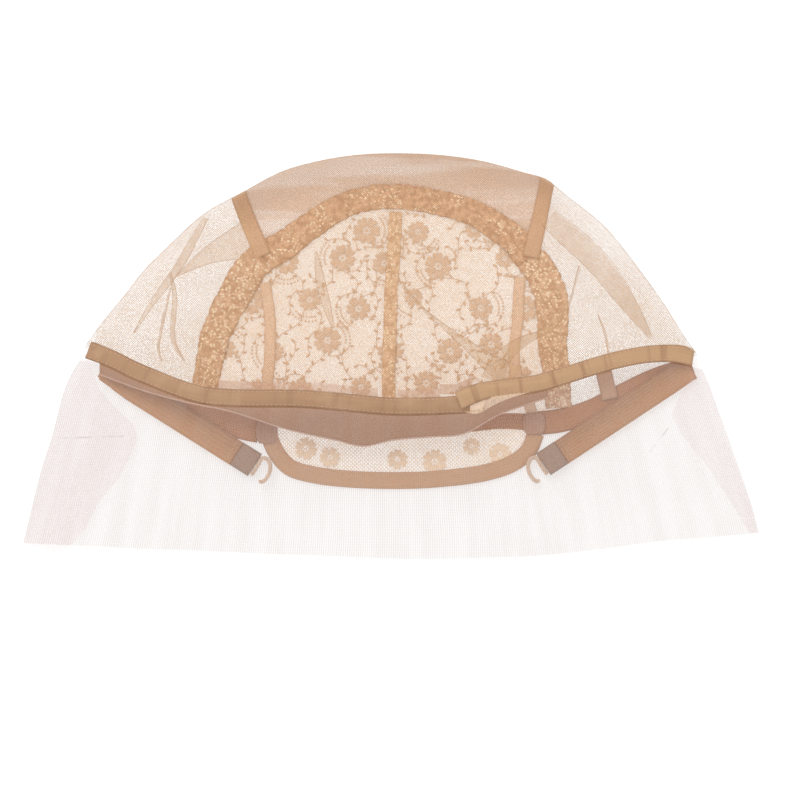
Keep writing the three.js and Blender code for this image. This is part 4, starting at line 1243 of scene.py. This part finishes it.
# Straps, loops and hooks
# An elastic strap runs from each ear towards the nape and ends in a folded loop. The loop holds the
# bar of an open plastic hook, whose arm rests on the nape binding.
straps = {"left": ((-0.942, -0.08), (-0.471, -0.543)), "right": ((0.976, -0.071), (0.524, -0.538))}
strap_width = 12.0
strap_starts = {"left": (8.0, 11.2), "right": (11.4, 12.0)}
strap_seam_backs = (0.04, 0.015)
loop_length = 9.6
loop_low = 1.9
loop_high = 4.1
hook_wire = 2.0
hook_bar = 10.4
hook_reach = 6.6
hook_height = 3.4


def tube_piece(name, route, radius, finish, sides=14):
    """A round bar along a route, with closed round ends."""
    ahead = np.gradient(route, axis=0)
    ahead = ahead / np.linalg.norm(ahead, axis=-1, keepdims=True)
    sideways = np.cross(ahead, (0.0, 0.0, 1.0))
    sideways = sideways / np.linalg.norm(sideways, axis=-1, keepdims=True)
    up = np.cross(sideways, ahead)
    run = np.concatenate(([0.0], np.cumsum(np.linalg.norm(np.diff(route, axis=0), axis=1))))
    end = np.minimum(run, run[-1] - run) / radius
    size = radius * np.sqrt(np.clip(1 - (1 - np.minimum(end, 1.0)) ** 2, 0.02, 1.0))
    turn = np.linspace(0.0, 2 * math.pi, sides, endpoint=False)
    ring = sideways[:, None] * np.cos(turn)[None, :, None] + up[:, None] * np.sin(turn)[None, :, None]
    points = (route[:, None] + ring * size[:, None, None]).reshape(-1, 3)
    count = len(route)
    faces = []
    for i in range(count - 1):
        for k in range(sides):
            a, b = i * sides + k, i * sides + (k + 1) % sides
            faces.append((a, b, b + sides, a + sides))
    tips = [len(points), len(points) + 1]
    points = np.vstack((points, route[:1], route[-1:]))
    last = (count - 1) * sides
    for k in range(sides):
        faces.append((tips[0], (k + 1) % sides, k))
        faces.append((tips[1], last + k, last + (k + 1) % sides))
    return make_piece(name, points, faces, points[:, :2], finish)


hook_look = Finish("hook_plastic", Roughness=0.28, IOR=1.49, Transmission_Weight=0.3, Coat_Weight=0.3)
hook_tone = hook_look.noise(260.0, 2.0)
hook_look.colour(hook_look.mix(hook_tone, linear(238, 214, 192), linear(214, 180, 152)))
hook_look.bump(hook_look.noise(900.0, 2.0), 0.00004)
loop_elastic = elastic_finish("loop_elastic", (158, 122, 100), (132, 100, 82), (186, 156, 134), 0.006)
for side, (ear, hook) in straps.items():
    # Painted shade on each strap: darker on its upper side, in the shade under the hem, and lighter at its
    # lower edge. The sign turns with the side.
    shaded = 0.5 if side == "left" else -0.5
    strap_elastic = elastic_finish(
        f"strap_elastic_{side}", (188, 133, 87), (150, 100, 62), (206, 156, 110), 0.006, 0.0014, shaded
    )
    line = straight(plan_point(*ear), plan_point(*hook))
    length = length_of(line)
    loop_from = 1 - loop_length / 2 / length
    strap_widths = (*strap_starts[side], *[strap_width] * 6)
    grid, pattern = tape_grids(line, strap_widths, back_surface, 0.0, loop_from)
    strap = wall_piece(f"strap_{side}_elastic", grid, pattern, over_tape_low, over_tape_high, strap_elastic)
    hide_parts(f"strap_{side}")
    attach(strap, "root")
    ahead = (line[-1] - line[0]) / length
    across = np.array((-ahead[1], ahead[0]))
    loop_start = at(line, loop_from)
    loop_line = straight(loop_start, loop_start + ahead * loop_length)
    grid, pattern = tape_grids(loop_line, strap_width, back_surface, step=0.6)
    loop = wall_piece(f"strap_loop_{side}_elastic", grid, pattern, loop_low, loop_high, loop_elastic, 0.5)
    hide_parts(f"strap_loop_{side}")
    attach(loop, "root")
    strap_seams = []
    for seam_back in strap_seam_backs:
        share = loop_from - seam_back
        reach = side_of(line, share) * strap_width * 0.4
        ends = np.linspace(at(line, share) - reach, at(line, share) + reach, 12)
        strap_seams.append(np.column_stack((ends, np.full(12, over_tape_high))))
    strap_stitches = grown(
        f"strap_stitches_{side}",
        paths("strap_seams", strap_seams),
        stitch_tree,
        {"Spacing": 0.0018, "Long": 0.0007, "Thick": 0.00018, "Finish": tan_thread},
    )
    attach(strap_stitches, "root")
    inward = 1.0 if side == "left" else -1.0
    half_bar = hook_bar / 2
    bends = [
        (0.0, -half_bar), (0.0, 0.0), (0.0, half_bar * 0.85), (hook_reach * 0.35, half_bar),
        (hook_reach * 0.8, half_bar * 0.55), (hook_reach, -half_bar * 0.2),
        (hook_reach * 0.9, -half_bar * 0.9), (hook_reach * 0.62, -half_bar * 1.05),
    ]
    bar_from = loop_start + ahead * (loop_length + layer_gap + hook_wire / 2)
    bend_points = np.array([bar_from + ahead * f + across * inward * s for f, s in bends])
    bend_line = plan_line(bend_points / (half_width, crown_rise), 90)
    route = np.column_stack((bend_line, np.full(len(bend_line), hook_height)))
    open_hook = tube_piece(f"hook_{side}_plastic", route, hook_wire / 2, hook_look.material)
    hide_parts(f"hook_{side}")
    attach(open_hook, "root")

# Front net
# The front of the cap is one piece of sheer net from the crown fold down to the rim ribbon. It has
# creases that run down from the crown tapes, where the net lies double, and a rosy seam allowance
# above the ribbon.
ribbon_left_table = [
    (-0.987, 0.01), (-0.914, -0.036), (-0.835, -0.099), (-0.759, -0.151), (-0.683, -0.2), (-0.602, -0.238),
    (-0.472, -0.255), (-0.294, -0.261), (-0.164, -0.278), (0, -0.302), (0.113, -0.301), (0.255, -0.287),
]
ribbon_right_table = [
    (0.217, -0.272), (0.288, -0.226), (0.353, -0.207), (0.469, -0.181), (0.569, -0.135), (0.662, -0.086),
    (0.737, -0.051), (0.832, -0.02), (0.921, -0.012), (0.985, -0.028),
]
ribbon_width = 7.8
ribbon_overlap = 7.0
rim_height_centre = 20.0
rim_height_ear = 6.0
net_start = 0.024
net_level = -0.4
net_fold_level = -0.6
net_fold_step = -0.1
net_tuck = 1.5
allowance_height = 4.4
allowance_tuck = 0.6
allowance_level = -1.1
allowance_spans = ((-79.0, -6.0), (3.0, 37.0))
crease_height = 1.4
crease_reach = 6.0
crease_table = [
    (-0.615, 0.64, -0.83, 0.05, 1), (-0.48, 0.68, -0.72, 0.33, 0.8), (-0.72, 0.33, -0.5, 0.44, 0.7),
    (-0.72, 0.3, -0.68, -0.05, 0.8), (0.53, 0.66, 0.86, 0.12, 1), (0.6, 0.42, 0.36, -0.02, 0.8),
    (0.04, 0.34, 0.24, 0.04, 0.5),
]
hem_lean = 0.45
ribbon_lines = [plan_line(ribbon_left_table), plan_line(ribbon_right_table)]
rim = plan_line(ribbon_left_table[:-1] + ribbon_right_table[1:])


def smooth_step(t):
    """An eased step from nothing to one."""
    t = np.clip(t, 0.0, 1.0)
    return t * t * (3 - 2 * t)


def rim_height(x):
    """How high the front rim stands over the table."""
    return rim_height_ear + (rim_height_centre - rim_height_ear) * middle(x)


def creases(x, y):
    """The ridges of the front net's creases."""
    height = np.zeros_like(x)
    for across, up, to_across, to_up, share in crease_table:
        start, end = plan_point(across, up), plan_point(to_across, to_up)
        step = end - start
        off = np.stack((x, y), axis=-1) - start
        t = np.clip((off @ step) / (step @ step), 0.0, 1.0)
        away = np.linalg.norm(off - t[..., None] * step, axis=-1) / crease_reach
        height = np.maximum(height, share * crease_height * np.maximum(0.0, 1 - away**2) ** 2)
    return height


def front_surface(x, y):
    """The outer face of the front net: round the crown fold, then straight down to the rim."""
    top, low = height_at(outline, x), height_at(rim, x)
    down = np.clip((top - y) / np.maximum(top - low, 1.0), 0.0, 1.0)
    weight = smooth_step((down - 0.25) / 0.75)
    fold = fold_radius(x) + fold_arc(x, y)
    return fold * (1 - weight) + rim_height(x) * weight + creases(x, y)


def hem_surface(x, y):
    """Below the ribbon the hem band leans in towards the back layer."""
    return front_surface(x, y) - hem_lean * middle(x) * np.maximum(0.0, height_at(rim, x) - y)


def ribbon_edge(upper, start, end, distance=ribbon_width / 2, pieces=160):
    """The edge of both ribbons, above or below them."""
    edges = []
    for line in ribbon_lines:
        shares = np.linspace(0.0, 1.0, len(line))
        edges.append(line + side_of(line, shares) * (distance if upper else -distance))
    points = []
    for x in np.linspace(start, end, pieces + 1):
        near = [e for e in edges if e[0, 0] - ribbon_overlap <= x <= e[-1, 0] + ribbon_overlap]
        heights = [float(height_at(e, x)) for e in near or edges]
        points.append((x, max(heights) if upper else min(heights)))
    return np.array(points)


net_high = stretch(outline, net_start, 1 - net_start, 200)
net_low = ribbon_edge(True, net_high[0, 0], net_high[-1, 0], ribbon_width / 2 - net_tuck)


def front_spot(u, v):
    """Plan points between the ribbon and the crown fold."""
    u, v = np.broadcast_arrays(u, v)
    return at(net_low, u) * (1 - v[..., None]) + at(net_high, u) * v[..., None]


net_folds = [
    ([(-0.6, 0.66), (-0.69, 0.4), (-0.776, 0.22), (-0.835, 0.08)], (2.6, 3.6, 0.3)),
    ([(-0.452, 0.535), (-0.585, 0.46), (-0.7, 0.352)], (19.0, 8.6, 0.6)),
    ([(-0.716, 0.373), (-0.701, 0.259), (-0.706, 0.04), (-0.67, -0.064)], (0.8, 2.2, 0.5)),
    ([(-0.714, 0.3), (-0.745, 0.1), (-0.755, 0.0), (-0.745, -0.06)], (0.4, 1.0, 0.4)),
    ([(0.51, 0.645), (0.667, 0.432), (0.754, 0.26), (0.845, 0.064)], (9.0, 10.5, 1.2)),
    (
        [(0.612, 0.4), (0.571, 0.197), (0.528, 0.108), (0.417, 0.017), (0.352, -0.076), (0.33, -0.17)],
        (1.0, 2.4, 11.0),
    ),
    ([(0.036, 0.297), (0.12, 0.16), (0.233, 0.023), (0.33, -0.09), (0.4, -0.16)], (1.0, 3.0, 13.0)),
    ([(0.672, 0.171), (0.695, 0.08), (0.707, -0.017)], (0.3, 0.8, 0.5)),
    ([(-0.243, 0.468), (-0.225, 0.3), (-0.187, 0.089)], (0.6, 4.2, 0.8)),
]
front_grid = raised(fold_plan(front_spot, 260, 14, 80), front_surface, net_level)
folded_net = net_finish("folded_net", (222, 182, 138), (200, 158, 112), 0.001, 0.2, 0.62, 0.26)
fold_layers = []
fold_edges = []
for fold_table, (first_width, mid_width, last_width) in net_folds:
    line = plan_line(fold_table)
    shares = np.linspace(0.0, 1.0, 60)
    width = first_width * (1 - shares) ** 2 + last_width * shares**2 + 2 * shares * (1 - shares) * (
        2 * mid_width - (first_width + last_width) / 2
    )
    halves = np.linspace(-0.5, 0.5, 9)
    plan = at(line, shares)[:, None] + side_of(line, shares)[:, None] * (width[:, None] * halves)[..., None]
    for edge_plan in (plan[:, 0], plan[:, -1]):
        edge_height = front_surface(edge_plan[:, 0], edge_plan[:, 1]) - 0.5
        fold_edges.append(np.column_stack((edge_plan, edge_height)))
    fold_level = net_fold_level + net_fold_step * len(fold_layers)
    fold_layers.append((raised(plan, front_surface, fold_level), plan))
net_fold_pieces = cloth_piece("net_folds", fold_layers, folded_net)
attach(net_fold_pieces, "root")
front_net = cloth_piece("front_net_cloth", [(front_grid, cloth_pattern(front_grid))], pale_net)
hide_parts("front_net")
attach(front_net, "root")
outline_inner = at(outline, np.linspace(0.004, 0.996, 300)) - (0.0, 0.2)
fold_edges.append(np.column_stack((outline_inner, fold_radius(outline_inner[:, 0]))))
edge_look = Finish("net_edge", Roughness=0.8)
edge_look.colour(edge_look.mix(edge_look.noise(400.0, 2.0), linear(220, 184, 150), linear(196, 156, 122)))
edge_look.alpha(edge_look.ease(edge_look.noise(500.0, 2.0), 0.3, 0.7, 0.15, 0.6))
net_edges = grown(
    "net_fold_edges",
    paths("fold_edge_lines", fold_edges),
    yarn_tree,
    {"Radius": 0.00016, "Finish": edge_look.material},
)
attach(net_edges, "root")
allowance_net = net_finish("allowance_net", (222, 182, 160), (196, 150, 128), 0.0012, 0.3, 0.85, 0.3)
allowance_layers = []
for start_x, end_x in allowance_spans:
    foot = ribbon_edge(True, start_x, end_x, ribbon_width / 2 - allowance_tuck)
    rows = np.linspace(0.0, 1.0, 9)[None, :, None] * (0.0, allowance_height)
    allowance_grid = raised(foot[:, None] + rows, front_surface, allowance_level)
    allowance_layers.append((allowance_grid, allowance_grid[..., :2]))
rim_allowance = cloth_piece("rim_allowance", allowance_layers, allowance_net)
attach(rim_allowance, "root")

# Rim ribbon
# A woven ribbon edges the front, in two lengths that overlap at a kink. It is stitched along both
# edges, and the right length lies over the left one.
ribbon_thickness = 0.8
ribbon_satin = satin_finish(
    "ribbon_satin", (185, 144, 108), (156, 116, 84), (202, 164, 130), 0.0039, ticks=0.35
)
light_ribbon = satin_finish(
    "light_ribbon", (204, 164, 124), (168, 126, 90), (220, 182, 144), 0.0039, ticks=0.7
)
left_line, right_line = ribbon_lines
left_end_x = right_line[0, 0] + ribbon_overlap
left_end = share_near(left_line, (left_end_x, height_at(left_line, left_end_x)))
grid, pattern = tape_grids(left_line, ribbon_width, hem_surface, 0.0, left_end)
ribbon_left = wall_piece("ribbon_left_satin", grid, pattern, -ribbon_thickness, 0.0, ribbon_satin)
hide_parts("ribbon_left")
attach(ribbon_left, "root")
grid, pattern = tape_grids(right_line, ribbon_width, hem_surface)
lift_shares = np.linspace(0.0, 1.0, len(grid)) * length_of(right_line) / ribbon_overlap
lift = (ribbon_thickness + layer_gap) * (1 - smooth_step(lift_shares - 1.3))
ribbon_right = wall_piece("ribbon_right_satin", grid, pattern, lift - ribbon_thickness, lift, light_ribbon)
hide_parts("ribbon_right")
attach(ribbon_right, "root")
ribbon_seams = []
for line, start, end in ((left_line, 0.0, left_end), (right_line, 0.1, 1.0)):
    for offset in (-ribbon_width * 0.37, ribbon_width * 0.37):
        ribbon_seams.append(sewing_line(line, offset, hem_surface, 0.05, start, end))
ribbon_stitches = grown(
    "ribbon_stitches",
    paths("ribbon_seam_lines", ribbon_seams),
    stitch_tree,
    {"Spacing": 0.0021, "Long": 0.0008, "Thick": 0.00017, "Finish": tan_thread},
)
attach(ribbon_stitches, "root")

# Hem band
# Under the ribbon hangs a turned hem of doubled rosy net, with a light piping along its lower edge.
# At the right a facing of bright net fills the wedge between the hem and the ribbon.
hem_low = -0.9
hem_high = -0.3
hem_tuck = 1.5
facing_from = 30.0
facing_to = 69.0
facing_rise = 5.5
facing_clear = 5.0
facing_least = 5.8
facing_taper = 14.0
facing_level = -0.1
hem_table = [
    (-0.949, -0.114), (-0.8, -0.204), (-0.653, -0.271), (-0.522, -0.316), (-0.359, -0.396), (-0.275, -0.428),
    (-0.176, -0.46), (-0.09, -0.489), (0.01, -0.46), (0.133, -0.445), (0.233, -0.428), (0.353, -0.33),
    (0.451, -0.277), (0.509, -0.245),
]
hem_line = plan_line(hem_table)
hem_rosy = rosy_finish("hem_rosy", (175, 127, 92), (148, 102, 72), (204, 158, 124), 0.2)
hem_top = even(ribbon_edge(False, hem_line[0, 0], hem_line[-1, 0], ribbon_width / 2 - hem_tuck), 240)
hem_rows = np.linspace(0.0, 1.0, 22)[None, :, None]
hem_plan = hem_line[:, None] * (1 - hem_rows) + hem_top[:, None] * hem_rows
hem_grid = raised(hem_plan, hem_surface)
hem_band = wall_piece("hem_band_net", hem_grid, hem_grid[..., :2], hem_low, hem_high, hem_rosy)
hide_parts("hem_band")
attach(hem_band, "root")
hem_edge = np.column_stack((hem_line, hem_surface(hem_line[:, 0], hem_line[:, 1]) - 0.5))
piping_thread = thread_finish("piping_thread", (212, 172, 148), (184, 142, 118))
hem_piping = grown(
    "hem_piping", paths("hem_edge_line", [hem_edge]), yarn_tree, {"Radius": 0.0004, "Finish": piping_thread}
)
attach(hem_piping, "root")
facing_x = np.linspace(facing_from, facing_to, 60)
facing_high = np.column_stack((facing_x, height_at(hem_top, facing_x) + facing_rise))
facing_drop = np.maximum(facing_high[:, 1] - height_at(hem_line, facing_x) - facing_clear, facing_least)
facing_grown = smooth_step((facing_x - facing_from) / facing_taper)
facing_drop = facing_rise + (facing_drop - facing_rise) * facing_grown
facing_low = facing_high - np.stack((np.zeros(len(facing_x)), facing_drop), axis=-1)
facing_rows = np.linspace(0.0, 1.0, 14)[None, :, None]
facing_plan = facing_low[:, None] * (1 - facing_rows) + facing_high[:, None] * facing_rows
facing_grid = raised(facing_plan, hem_surface, facing_level)
facing_net = net_finish("facing_net", (255, 226, 196), (240, 200, 164), 0.0013, 0.3, 0.95, 0.5)
hem_facing = cloth_piece("hem_facing", [(facing_grid, facing_grid[..., :2])], facing_net)
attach(hem_facing, "root")

# Lace apron
# A very sheer fine lace hangs from the ribbon over the straps and the nape to the table. Both side
# edges are folded back over it, the left one as a wide flap, and two light creases show near them.
apron_left_table = [
    (-1.008, -0.045), (-1.03, -0.1), (-1.058, -0.2), (-1.096, -0.425), (-1.136, -0.624), (-1.187, -0.964),
]
apron_right_table = [
    (1.008, -0.09), (1.028, -0.164), (1.064, -0.318), (1.117, -0.547), (1.167, -0.776), (1.188, -0.913),
]
apron_hem_table = [
    (-1.187, -0.964), (-0.992, -0.979), (-0.797, -0.994), (-0.603, -1.004), (-0.408, -1.019),
    (-0.214, -1.029), (-0.019, -1.042), (0.078, -1.045), (0.272, -1.04), (0.467, -1.029),
    (0.662, -0.999), (0.856, -0.958), (1.051, -0.933), (1.188, -0.913),
]
flap_table = [
    (0, 0.1), (0.13, 0.38), (0.25, 0.9), (0.33, 1), (0.48, 0.95), (0.58, 0.92), (0.72, 0.76),
    (0.87, 0.66), (1, 0.46),
]
facing_table = [(0, 0.1), (0.3, 1), (0.42, 0.92), (0.6, 0.62), (0.8, 0.4), (1, 0.16)]
apron_landing = 0.86
apron_pleat = 0.7
apron_pleats = 14
flap_width = 38.0
flap_tip = 5.0
facing_width = 22.0
apron_turn = 0.65
apron_lowest = 0.5
apron_rows_count = 70
flap_columns = 22
facing_columns = 14
turn_steps = (0.25, 0.5, 0.75, 1.0)
apron_crease_level = 6.2
apron_crease_ends = (((0.84, -0.51), (0.9, -0.39)), ((-1.08, -0.44), (-0.87, -0.43)))
apron_left = plan_line(apron_left_table)
apron_right = plan_line(apron_right_table)
rim_under = ribbon_edge(False, ribbon_lines[0][0, 0], ribbon_lines[1][-1, 0], ribbon_width / 2 + layer_gap)
apron_top = np.vstack((apron_left[:1], rim_under - (0.0, 0.5), apron_right[:1]))
apron_spot = patch(apron_top, plan_line(apron_hem_table), apron_left, apron_right)


def apron_sheet(u, v):
    """The apron's middle: it falls from the ribbon to the table with soft pleats."""
    u, v = np.broadcast_arrays(u, v)
    start = rim_height(at(apron_top, u)[..., 0]) + layer_gap + apron_lowest
    fall = 1 - smooth_step(v / apron_landing)
    wave = 1 + np.sin(apron_pleats * math.pi * u + 4 * v)
    pleat = apron_pleat * wave * np.sin(math.pi * v) * middle(1.6 * half_width * (u - 0.5))
    height = apron_lowest * (1 - fall) + start * fall + pleat
    return np.concatenate((apron_spot(u, v), height[..., None]), axis=-1)


def apron_over(u, v, share):
    """A point of a folded edge, lying back over the sheet."""
    return apron_sheet(u, v) + np.stack((0 * v, -flap_tip * share * v**4, 2 * apron_turn + 0 * v), axis=-1)


def apron_turned(u, v, angle, outward):
    """A point of the turn at a side edge."""
    sideways, up = outward * apron_turn * math.sin(angle), apron_turn * (1 - math.cos(angle))
    return apron_sheet(u, v) + (sideways, 0.0, up)


apron_rows = np.linspace(0.0, 1.0, apron_rows_count)
apron_span = np.linalg.norm(apron_spot(0.0, apron_rows) - apron_spot(1.0, apron_rows), axis=-1)
flap_share = flap_width * np.interp(apron_rows, *np.array(flap_table).T) / apron_span
facing_share = facing_width * np.interp(apron_rows, *np.array(facing_table).T) / apron_span
columns = []
for share in np.linspace(1.0, 0.04, flap_columns):
    columns.append(apron_over(share * flap_share, apron_rows, share))
for half_turns in turn_steps[::-1]:
    columns.append(apron_turned(np.zeros(apron_rows_count), apron_rows, half_turns * math.pi, -1.0))
for share in np.linspace(0.0, 1.0, 260):
    columns.append(apron_sheet(share, apron_rows))
for half_turns in turn_steps:
    columns.append(apron_turned(np.ones(apron_rows_count), apron_rows, half_turns * math.pi, 1.0))
for share in np.linspace(0.04, 1.0, facing_columns):
    columns.append(apron_over(1 - share * facing_share, apron_rows, 0.0))
apron_grid = np.stack(columns)[:, ::-1]
apron_run = np.cumsum(np.linalg.norm(np.diff(apron_grid[:, 0], axis=0), axis=-1))
apron_run = np.broadcast_to(np.concatenate(([0.0], apron_run))[:, None], apron_grid.shape[:2])
apron_pattern = np.stack((apron_run, apron_grid[..., 1]), axis=-1)
apron_look = Finish("sheer_lace", Roughness=0.85, Sheen_Weight=0.1)
apron_warp = apron_look.ridge(apron_look.along, 0.001, 0.4, 0.15)
apron_weft = apron_look.ridge(apron_look.across, 0.0013, 0.3, 0.15)
apron_streaks = apron_look.noise(1.0, 3.0, apron_look.stretched(140.0, 14.0))
apron_uneven = apron_look.ease(apron_streaks, 0.3, 0.7, 0.85, 1.15)
apron_weave = apron_look.calc("MAXIMUM", apron_warp, apron_look.calc("MULTIPLY", apron_weft, 0.35))
apron_double = apron_look.add("ShaderNodeAttribute", attribute_name="doubled").outputs["Fac"]
apron_stipple = apron_look.ease(apron_look.noise(1500.0, 1.0), 0.35, 0.65, 0.1, 0.7)
apron_single = apron_look.calc("SUBTRACT", 1.0, apron_double)
apron_plain_part = apron_look.calc("MULTIPLY", apron_weave, apron_single)
apron_double_part = apron_look.calc("MULTIPLY", apron_stipple, apron_double)
apron_mesh = apron_look.calc("ADD", apron_plain_part, apron_double_part)
apron_cover = apron_look.calc("ADD", 0.135, apron_look.calc("MULTIPLY", apron_mesh, 0.16))
apron_thin = apron_look.calc("SUBTRACT", 1.0, apron_look.calc("MULTIPLY", apron_double, 0.4))
apron_part_cover = apron_look.calc("MULTIPLY", apron_cover, apron_thin)
apron_look.alpha(apron_look.calc("MULTIPLY", apron_part_cover, apron_uneven))
apron_plain = apron_look.mix(apron_look.noise(30.0, 2.0), linear(206, 192, 184), linear(196, 176, 168))
apron_look.colour(apron_look.mix(apron_double, apron_plain, linear(206, 166, 160)))
apron_look.bump(apron_mesh, 0.0001)
lace_apron = cloth_piece("lace_apron_sheet", [(apron_grid, apron_pattern)], apron_look.material)
doubled = np.zeros(apron_grid.shape[:2], dtype=np.float32)
doubled[: flap_columns + len(turn_steps) // 2] = 1.0
doubled[-facing_columns - len(turn_steps) // 2 :] = 1.0
doubled_part = lace_apron.data.attributes.new("doubled", "FLOAT", "POINT")
doubled_part.data.foreach_set("value", doubled.ravel())
crease_lines = []
for crease_start, crease_end in apron_crease_ends:
    crease = straight(plan_point(*crease_start), plan_point(*crease_end))
    crease_lines.append(np.column_stack((crease, np.full(len(crease), apron_crease_level))))
# The creases are drawn as thin grey lines: partly the doubled lace of each crease, partly painted crease
# shade.
crease_shade_look = Finish("apron_crease", Roughness=0.85)
crease_tone = crease_shade_look.noise(90.0, 2.0)
crease_shade_look.colour(crease_shade_look.mix(crease_tone, linear(196, 186, 180), linear(180, 168, 164)))
crease_shade_look.alpha(crease_shade_look.ease(crease_shade_look.noise(160.0, 2.0), 0.35, 0.65, 0.0, 0.25))
apron_creases = grown(
    "apron_creases",
    paths("crease_lines", crease_lines),
    yarn_tree,
    {"Radius": 0.00025, "Finish": crease_shade_look.material},
)
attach(apron_creases, "root")
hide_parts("lace_apron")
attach(lace_apron, "root")
